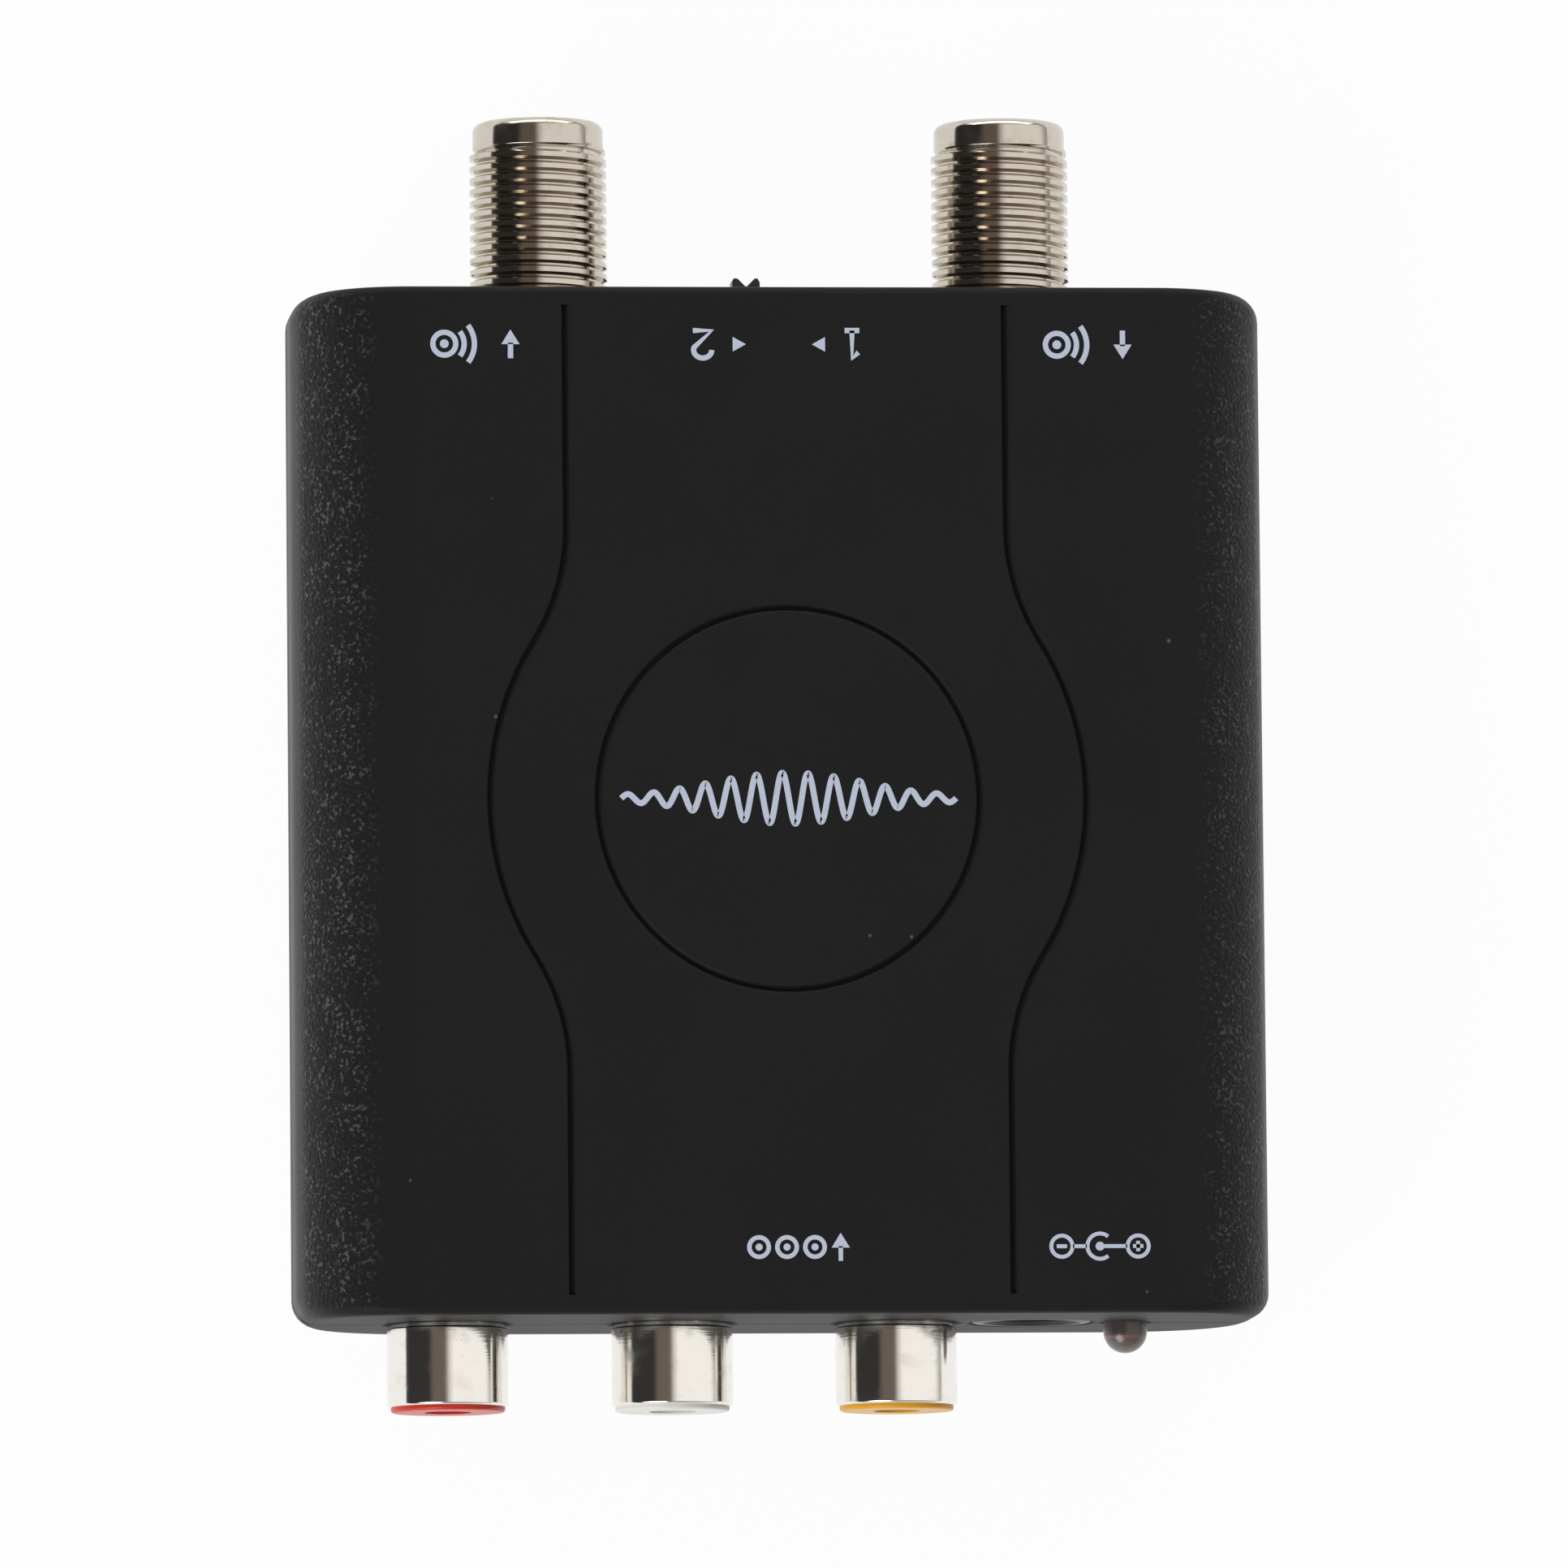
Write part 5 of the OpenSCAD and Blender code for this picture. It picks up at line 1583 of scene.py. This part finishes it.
@dataclass
class PowerSocket:
    """The barrel power socket: housing with a round nose, centre pin and side spring."""

    x: float
    face: float = -35.0
    wall: float = -33.2
    back: float = -19.6
    half: float = 4.4
    nose: float = 4.1
    bore: float = 3.15
    floor: float = -25.5
    pin_radius: float = 1.0
    rod: float = 0.8
    tail: Pair = (0.6, 0.4)
    room: Triple = (1.1, 3.2, 2.8)

    def housing(self) -> bpy.types.Mesh:
        """Shapes the housing with its nose, bore and spring room.

        Returns:
            The housing's mesh.
        """
        along, up = (self.wall, self.back), (BOARD_TOP, AXIS + self.half + 0.1)
        nose = rounded(drum(self.nose, self.face, self.wall + 0.5), [0, 0.25, 0, 0], False)
        bore = [(0, self.face - 1), (self.bore + 0.6, self.face - 1), (self.bore + 0.3, self.face)]
        bore += [(self.bore, self.face + 0.3), (self.bore, self.floor), (0, self.floor)]
        room_half, room_depth, room_start = self.room
        room_along = (self.face + 1.5, self.floor - 1.0)
        room_up = (AXIS - room_depth, AXIS - room_start)
        return carved(
            Shape().block(self.x, self.half, along, up, 0.3).mesh("power housing"),
            (Carve.JOIN, Shape().lathe(nose, self.x)),
            (Carve.CUT, Shape().lathe(bore, self.x)),
            (Carve.CUT, Shape().block(self.x, room_half, room_along, room_up)),
        )

    def pin(self) -> bpy.types.Mesh:
        """Shapes the centre pin with its domed tip and its tail on the board.

        Returns:
            The pin's mesh.
        """
        tip = self.face + 1.2
        corners = [(0, tip), (self.pin_radius, tip), (self.pin_radius, self.floor)]
        corners += [(self.rod, self.floor), (self.rod, self.back), (0, self.back)]
        line = rounded(corners, [0, 0.55, 0, 0, 0, 0], False, 7)
        tail_half, tail_sheet = self.tail
        along, up = (self.back, self.back + tail_sheet), (LEAD_END, AXIS + self.rod)
        shape = Shape().lathe(line, self.x, 48)
        return shape.block(self.x, tail_half, along, up, 0.08).mesh("pin")

    def build(self) -> None:
        """Builds the housing and pin and dresses the spring."""
        add_piece("power_jack_shell", self.housing(), FINISHES.power, ["power_socket_housing"])
        add_piece("power_jack_pin", self.pin(), FINISHES.pin, ["power_socket_pin"])
        dress({"power_socket_spring": FINISHES.pin})


@dataclass
class PowerLamp:
    """The small lamp beside the power socket: a domed lens on a flange, and two leads."""

    x: float
    tip: float = -37.1
    radius: float = 1.5
    seat: float = -33.2
    flange: float = 1.85

    def build(self) -> None:
        """Builds the lens and dresses the leads."""
        line = arc((0, self.tip + self.radius), self.radius, -QUARTER, 0.0, 10)
        line += [(self.radius, self.seat), (self.flange - 0.15, self.seat)]
        line += [(self.flange, self.seat + 0.15), (self.flange, self.seat + 0.9)]
        line += [(self.flange - 0.1, self.seat + 1.0), (0, self.seat + 1.0)]
        mesh = Shape().lathe(line, self.x, 64).mesh("lens")
        add_piece("lamp_dome", mesh, FINISHES.lamp, ["power_lamp_lens"])
        dress({"power_lamp_leads": FINISHES.lead})


@dataclass
class ChannelSwitch:
    """The slide switch: a knob with two teeth that moves in the back wall's slot."""

    x: float = -1.4
    z: float = 7.6
    half: float = 0.95
    height: float = 2.0
    tip: float = 37.2
    front: float = 32.75
    back: float = 31.35
    notch: float = 0.55
    plate_x: float = 2.85
    plate_z: float = 2.35

    def build(self) -> None:
        """Builds the knob and dresses the metal parts."""
        half, tip = self.half, self.tip
        crown = [(-half, self.front - 0.2), (half, self.front - 0.2), (half, tip - 0.28)]
        crown += [(half - 0.16, tip), (half - 0.36, tip - 0.02), (0.06, tip - self.notch)]
        crown += [(-0.06, tip - self.notch), (-half + 0.36, tip - 0.02)]
        crown += [(-half + 0.1, tip), (-half, tip - 0.18)]
        radii = [0, 0, 0.06, *[0.05] * 7]
        line = rounded([(self.x + x, y) for x, y in crown], radii, True, 4)
        edge = [(0.1, 0.0), (0.03, 0.04), (0.0, 0.1)]
        layers = [(inset, self.z - self.height / 2 + up) for inset, up in edge]
        layers += [(inset, self.z + self.height / 2 - up) for inset, up in reversed(edge)]
        rings: list[list[Triple]] = []
        for inset, z in layers:
            share = 1 - inset / half
            ring = [(self.x + (x - self.x) * share, y - inset * (y > self.front), z) for x, y in line]
            rings.append(ring)
        shape = Shape().rings(rings)
        along, up = (self.back, self.front), (self.z - self.plate_z, self.z + self.plate_z)
        shape.block(self.x, self.plate_x, along, up, 0.1)
        mesh = shape.mesh("knob")
        add_piece("channel_slider", mesh, FINISHES.knob, ["switch_knob"], Body.KNOB, crease=40)
        kept = {"contact": FINISHES.brass, "terminals": FINISHES.lead}
        dress({**kept, "frame": FINISHES.switch_steel, "base": FINISHES.switch_board}, "switch_")


@dataclass
class Fixings:
    """The four case screws and the four rubber feet."""

    covers: Covers
    growths: Growths
    seat: float = 1.6
    length: float = 10.0
    radius: float = 1.15
    thread_depth: float = 0.22
    pitch: float = 0.95
    crest: float = 0.08
    ridge_foot: float = 0.9
    ridge_turns: float = 9.0
    ridge_start: float = 0.4
    head: float = 2.0
    head_height: float = 1.3
    recess: Triple = (1.3, 0.25, -0.6)
    foot: float = 4.0
    foot_out: float = 0.8
    foot_in: float = 0.5

    def screw(self) -> bpy.types.Mesh:
        """Shapes one screw with its crossed recess and thread, its seat at the origin.

        Returns:
            The screw's mesh.
        """
        root = self.radius - self.thread_depth
        corners = [(0, -self.head_height), (self.head, -self.head_height), (self.head, 0), (root, 0)]
        corners += [(root, self.length - 0.9), (0, self.length)]
        line = rounded(corners, [0, 0.55, 0.12, 0.1, 0.2, 0], False)
        arm, half, deep = self.recess
        bars = [Shape().block(0, x, (-y, y), (-2, deep)) for x, y in ((arm, half), (half, arm))]
        mesh = carved(Shape().post(line, 0, 0, 40).mesh("screw"), *[(Carve.CUT, bar) for bar in bars])
        mesh.transform(Matrix.Translation(-ORIGIN))
        lengths = (self.pitch, root, self.thread_depth, self.crest, self.ridge_foot)
        ridge = self.growths.threads(FINISHES.screw, self.ridge_turns, 32, lengths)
        ridge.transform(Matrix.Translation((0, 0, self.ridge_start * MM)))
        return merged("screw", [mesh, ridge])

    def foot_form(self) -> bpy.types.Mesh:
        """Shapes one foot with its hollow sole, at the origin.

        Returns:
            The foot's mesh.
        """
        sole, rim = -self.foot_out, self.foot - 1.0
        corners = [(0, sole + 0.12), (rim - 0.4, sole + 0.12), (rim, sole)]
        corners += [(self.foot, sole), (self.foot, self.foot_in), (0, self.foot_in)]
        line = rounded(corners, [0, 0.2, 0.2, 0.35, 0, 0], False)
        single = Shape().post(line, 0, 0, 64).mesh("foot")
        single.transform(Matrix.Translation(-ORIGIN))
        return single

    def build(self) -> None:
        """Builds the screws and the feet."""
        cover = self.covers
        places = four(cover.screw_x, cover.screw_y, self.seat)
        mesh = self.growths.repeated(self.screw(), places, FINISHES.screw, 0.7)
        add_piece("bottom_screws", mesh, FINISHES.screw, ["case_screws"])
        places = four(cover.foot_x, cover.foot_y)
        mesh = self.growths.repeated(self.foot_form(), places, FINISHES.rubber)
        add_piece("stick_on_feet", mesh, FINISHES.rubber, ["rubber_feet"])


class BoardParts:
    """The circuit board and what stands on it, which keep their CAD shapes."""

    def build(self) -> None:
        """Dresses every part."""
        dress(
            {
                "circuit_board": FINISHES.board,
                "screen_frame": FINISHES.screen,
                "screen_lid": FINISHES.screen,
                "modulator_chip": FINISHES.chip,
                "modulator_chip_leads": FINISHES.lead,
                "crystal": FINISHES.crystal,
                "tuning_coils": FINISHES.ferrite,
                "voltage_regulator": FINISHES.chip,
                "protection_diode": FINISHES.chip,
                "electrolytic_capacitors": FINISHES.can,
                "chip_capacitors": FINISHES.ceramic,
                "chip_resistors": FINISHES.film,
            }
        )


class Glyph:
    """Flat marks drawn with strokes and filled shapes, in millimetres round their own middle."""

    def __init__(self) -> None:
        """Starts with nothing drawn."""
        self.strokes: list[tuple[list[Pair], bool]] = []
        self.fills: list[list[Pair]] = []

    def stroke(self, points: Pairs, closed: bool = False) -> "Glyph":
        """Adds a stroke through points."""
        self.strokes.append((list(points), closed))
        return self

    def ring(self, x: float, radius: float) -> "Glyph":
        """Adds a round stroke."""
        return self.stroke(arc((x, 0), radius, 0.0, math.tau, 40)[:-1], True)

    def dot(self, x: float, radius: float) -> "Glyph":
        """Adds a filled disc."""
        return self.fill(arc((x, 0), radius, 0.0, math.tau, 28)[:-1])

    def fill(self, points: Pairs) -> "Glyph":
        """Adds a filled outline."""
        self.fills.append(list(points))
        return self

    def arrow(self, x: float, tail: float, half: float = 0.62) -> "Glyph":
        """Adds an upright arrow that reaches as far past the middle as its tail lies before it.

        Args:
            x: Its place across the mark.
            tail: Where its tail is.
            half: Half of its head's width.

        Returns:
            The glyph itself.
        """
        way = -1.0 if tail > 0 else 1.0
        neck = -tail - way
        self.stroke([(x, tail), (x, neck + way * 0.1)])
        return self.fill([(x - half, neck), (x + half, neck), (x, -tail)])


@dataclass
class Prints:
    """The generic pale marks on the top: arrows, socket rings, numbers, polarity and a wave."""

    growths: Growths
    top: float = 22.0
    thick: float = 0.1
    back_row: float = 31.0
    front_row: float = -30.5

    def aerial(self, tail: float) -> Glyph:
        """Draws an aerial socket's mark: a ring with its pin, waves and an arrow.

        Args:
            tail: Where the arrow's tail is.

        Returns:
            The mark.
        """
        middle, spread = -2.2, math.radians(38)
        glyph = Glyph().ring(middle, 0.78).dot(middle, 0.3)
        for radius in (1.35, 2.05):
            glyph.stroke(arc((middle, 0), radius, -spread, spread, 14))
        return glyph.arrow(2.3, tail)

    def one(self) -> Glyph:
        """Returns a plain 1, upside down as it is read from behind."""
        glyph = Glyph().stroke([(0.42, -0.55), (0.0, -0.95), (0.0, 0.95)])
        return glyph.stroke([(0.5, 0.95), (-0.5, 0.95)])

    def two(self) -> Glyph:
        """Returns a plain 2, upside down as it is read from behind."""
        bend = arc((0, -0.4), -0.62, math.pi, math.radians(380), 16, 0.55)
        return Glyph().stroke([*bend, (0.62, 0.93), (-0.66, 0.93)])

    def knob_mark(self, way: float) -> Glyph:
        """Returns the small triangle that shows which way the knob goes for a number."""
        return Glyph().fill([(way * 0.55, 0), (-way * 0.35, -0.5), (-way * 0.35, 0.5)])

    def inputs(self) -> Glyph:
        """Draws the phono sockets' mark: three rings with dots, and an arrow inwards.

        Returns:
            The mark.
        """
        glyph = Glyph()
        for x in (-2.6, -0.7, 1.2):
            glyph.ring(x, 0.66).dot(x, 0.24)
        return glyph.arrow(2.95, -0.95)

    def polarity(self) -> Glyph:
        """Draws the power socket's mark: minus, pin inside barrel, plus.

        Returns:
            The mark.
        """
        end, arm = 2.6, 0.35
        glyph = Glyph().ring(-end, 0.72).ring(end, 0.72).dot(0, 0.3)
        glyph.stroke(arc((0, 0), 0.86, math.radians(50), math.radians(310), 30))
        for first, last in ((-end - arm, arm - end), (end - arm, end + arm)):
            glyph.stroke([(first, 0), (last, 0)])
        glyph.stroke([(end, -arm), (end, arm)])
        return glyph.stroke([(-1.85, 0), (-0.9, 0)]).stroke([(0.3, 0), (1.85, 0)])

    def wave(self, half: float = 11.4, swings: int = 13, height: float = 1.75, steps: int = 480) -> Glyph:
        """Returns a carrier wave whose height swells and sinks.

        Args:
            half: Half of its length.
            swings: The count of whole swings.
            height: Its greatest height over the middle line.
            steps: Steps from end to end.

        Returns:
            The mark.
        """
        points: list[Pair] = []
        for share in [k / steps for k in range(steps + 1)]:
            swell = 0.16 + 0.84 * math.sin(math.pi * share) ** 2
            swing = math.sin(math.tau * swings * share)
            points.append((-half + 2 * half * share, height * swell * swing))
        return Glyph().stroke(points)

    def laid(self, glyph: Glyph, x: float, y: float, width: float) -> list[bpy.types.Mesh]:
        """Makes a mark's meshes at its place on the top.

        Args:
            glyph: The mark.
            x: Its middle across the case.
            y: Its middle along the case.
            width: The strokes' width.

        Returns:
            The meshes.
        """
        line = bpy.data.curves.new("stroke", "CURVE")
        line.dimensions = "3D"
        for points, closed in glyph.strokes:
            spline = line.splines.new("POLY")
            spline.points.add(len(points) - 1)
            for place, (px, py) in zip(spline.points, points):
                at = ORIGIN + Vector((x + px, y + py, self.top - self.thick / 2)) * MM
                place.co = (*at, 1.0)
            spline.use_cyclic_u = closed
        out: list[bpy.types.Mesh] = []
        if glyph.strokes:
            values = {"Width": width * MM, "Thickness": self.thick * MM}
            out.append(self.growths.stroke.grow(line, FINISHES.ink, values))
        shape = Shape()
        for outline in glyph.fills:
            shape.slab([(x + px, y + py) for px, py in outline], self.top - self.thick, self.top)
        return out + [shape.mesh("fill")] if glyph.fills else out

    def build(self) -> None:
        """Lays every mark as a piece of its own."""
        back, front = self.back_row, self.front_row
        marks = (
            ("aerial_out", self.aerial(-0.98), -21.0, back, 0.36),
            ("aerial_in", self.aerial(0.98), 20.8, back, 0.36),
            ("channel_two", self.two(), -5.6, back, 0.36),
            ("channel_one", self.one(), 4.6, back, 0.36),
            ("two_pointer", self.knob_mark(1.0), -3.2, back, 0.36),
            ("one_pointer", self.knob_mark(-1.0), 2.4, back, 0.36),
            ("phono_in", self.inputs(), 0.3, front, 0.3),
            ("polarity", self.polarity(), 20.9, front, 0.26),
            ("carrier_wave", self.wave(), 0.0, 0.0, 0.4),
        )
        for name, glyph, x, y, width in marks:
            mesh = merged(name, self.laid(glyph, x, y, width))
            add_piece(f"print_{name}", mesh, FINISHES.ink, crease=45)


@dataclass
class Studio:
    """The pale floor, the soft lamps, the surroundings that metal reflects, and the camera."""

    target: Triple = (0.0, 0.0, 22.0)
    way: Triple = (-0.091, -0.095, 1.0)
    distance: float = 1200.0
    pixels: int = 1932
    pixel_scale: float = 18.0
    scale_height: float = 11.0
    target_pixel: Pair = (972.0, 983.5)
    roll: float = -0.52
    sensor: float = 36.0
    floor_half: float = 6.0
    floor_height: float = -0.02
    white_share: float = 0.96
    key: tuple[Triple, Pair, float] = ((-780, -950, 850), (900, 900), 10.8)
    back_strip: tuple[Triple, Pair, float] = ((0, 1000, 450), (2000, 600), 6.5)

    def camera(self) -> None:
        """Sets the camera at the photograph's angle, distance and framing."""
        data = bpy.data.cameras.new("camera")
        made = as_object(data, "camera")
        away = Vector(self.way).normalized()
        right = Vector((0, 1, 0)).cross(away).normalized()
        spin = Matrix.Rotation(math.radians(self.roll), 3, away)
        right, up = spin @ right, spin @ away.cross(right)
        reach = self.distance - (self.target[2] - self.scale_height)
        per_mm = self.pixel_scale * self.distance / reach
        across, down = ((pixel - self.pixels / 2) / per_mm * MM for pixel in self.target_pixel)
        aim = ORIGIN + Vector(self.target) * MM - right * across + up * down
        data.sensor_width = self.sensor
        data.lens = self.pixel_scale * self.distance / self.pixels * self.sensor
        data.clip_start, data.clip_end = 0.05, 20.0
        turned = Matrix((right, up, away)).transposed().to_4x4()
        made.matrix_world = Matrix.Translation(aim + away * (reach * MM)) @ turned
        bpy.context.scene.camera = made

    def floor(self) -> None:
        """Lays the pale floor, which keeps the shadow but reads white to camera and metal."""
        mesh = bpy.data.meshes.new("floor")
        half, low = self.floor_half, self.floor_height * MM
        corners = [(-half, -half, low), (half, -half, low), (half, half, low), (-half, half, low)]
        mesh.from_pydata(corners, [], [(0, 1, 2, 3)])
        paint = Paint("floor white")
        path = paint.node("ShaderNodeLightPath")
        seen = Signal(paint, path.outputs["Is Camera Ray"])
        for name in ("Is Glossy Ray", "Is Transmission Ray"):
            seen = seen.larger(Signal(paint, path.outputs[name]))
        matt = paint.node("ShaderNodeBsdfDiffuse", None, {"Color": (0.86, 0.86, 0.86)})
        glow = paint.node("ShaderNodeEmission", None, {"Color": (1, 1, 1), "Strength": 1.0})
        feeds = {0: seen * self.white_share, 1: matt.outputs[0], 2: glow.outputs[0]}
        mesh.materials.append(paint.surface(paint.node("ShaderNodeMixShader", None, feeds)))
        as_object(mesh, "floor")

    def surroundings(self) -> None:
        """Sets the world: white to the camera, and a studio with light and dark parts to metal."""
        world = bpy.data.worlds.new("studio")
        bpy.context.scene.world = world
        world.use_nodes = True
        world.node_tree.nodes.clear()
        graph = Graph(world.node_tree)
        out = graph.node("ShaderNodeOutputWorld")
        x, y, z = graph.signal("ShaderNodeTexCoord", output="Generated").parts()
        side = graph.signal("ShaderNodeMath", {"operation": "ARCTAN2"}, {0: x, 1: z})
        near = (x * x + z * z).step(0.35, 0.75)
        card = abs(y - 0.1).step(0.55, 0.35)
        tone: Any = (0.4, 0.38, 0.36)
        layers = (
            (side.between(-0.85, -0.1, 0.1) * near, (0.15, 0.118, 0.1)),
            (side.step(-0.5, -0.74) * near, (0.03, 0.03, 0.03)),
            (side.step(-1.4, -1.75) * near, (0.14, 0.14, 0.14)),
            (side.between(0.0, 1.4, 0.16) * near * card, (1.0, 0.99, 0.97)),
        )
        for share, colour in layers:
            tone = graph.blend(share, tone, colour)
        path = graph.node("ShaderNodeLightPath")
        seen = graph.blend(path.outputs["Is Glossy Ray"], 0.42 - x * 0.32, tone)
        seen = graph.blend(path.outputs["Is Camera Ray"], seen, (1.0, 1.0, 1.0))
        glow = graph.node("ShaderNodeBackground", None, {"Color": seen, "Strength": 1.0})
        world.node_tree.links.new(glow.outputs[0], out.inputs["Surface"])

    def lamp(self, name: str, place: Triple, size: Pair, power: float) -> None:
        """Adds a soft lamp that faces the case.

        Args:
            name: The lamp's name.
            place: Its place in millimetres.
            size: Its width and height in millimetres.
            power: Its power in watts.
        """
        data = bpy.data.lights.new(name, "AREA")
        data.shape = "RECTANGLE"
        data.size, data.size_y = size[0] * MM, size[1] * MM
        data.energy = power
        away = Vector(place) * MM
        turned = away.to_track_quat("Z", "Y").to_matrix().to_4x4()
        as_object(data, name).matrix_world = Matrix.Translation(ORIGIN + away) @ turned

    def build(self) -> None:
        """Builds the studio."""
        self.camera()
        self.floor()
        self.surroundings()
        self.lamp("key softbox", *self.key)
        self.lamp("back strip", *self.back_strip)
        bpy.context.scene.view_settings.view_transform = "Standard"


def main() -> None:
    """Builds the modulator's pieces in order, then the studio."""
    logging.basicConfig(level=logging.INFO, format="%(message)s")
    growths = Growths()
    sockets = Sockets()
    covers = Covers(sockets)
    covers.build()
    for name, x in sockets.aerials.items():
        AerialSocket(name, x, growths).build()
    for tint, x in sockets.phonos.items():
        PhonoSocket(tint, x).build()
    PowerSocket(sockets.power).build()
    PowerLamp(sockets.lamp).build()
    ChannelSwitch().build()
    Fixings(covers, growths).build()
    BoardParts().build()
    Prints(growths).build()
    Studio().build()


if __name__ == "__main__":
    main()
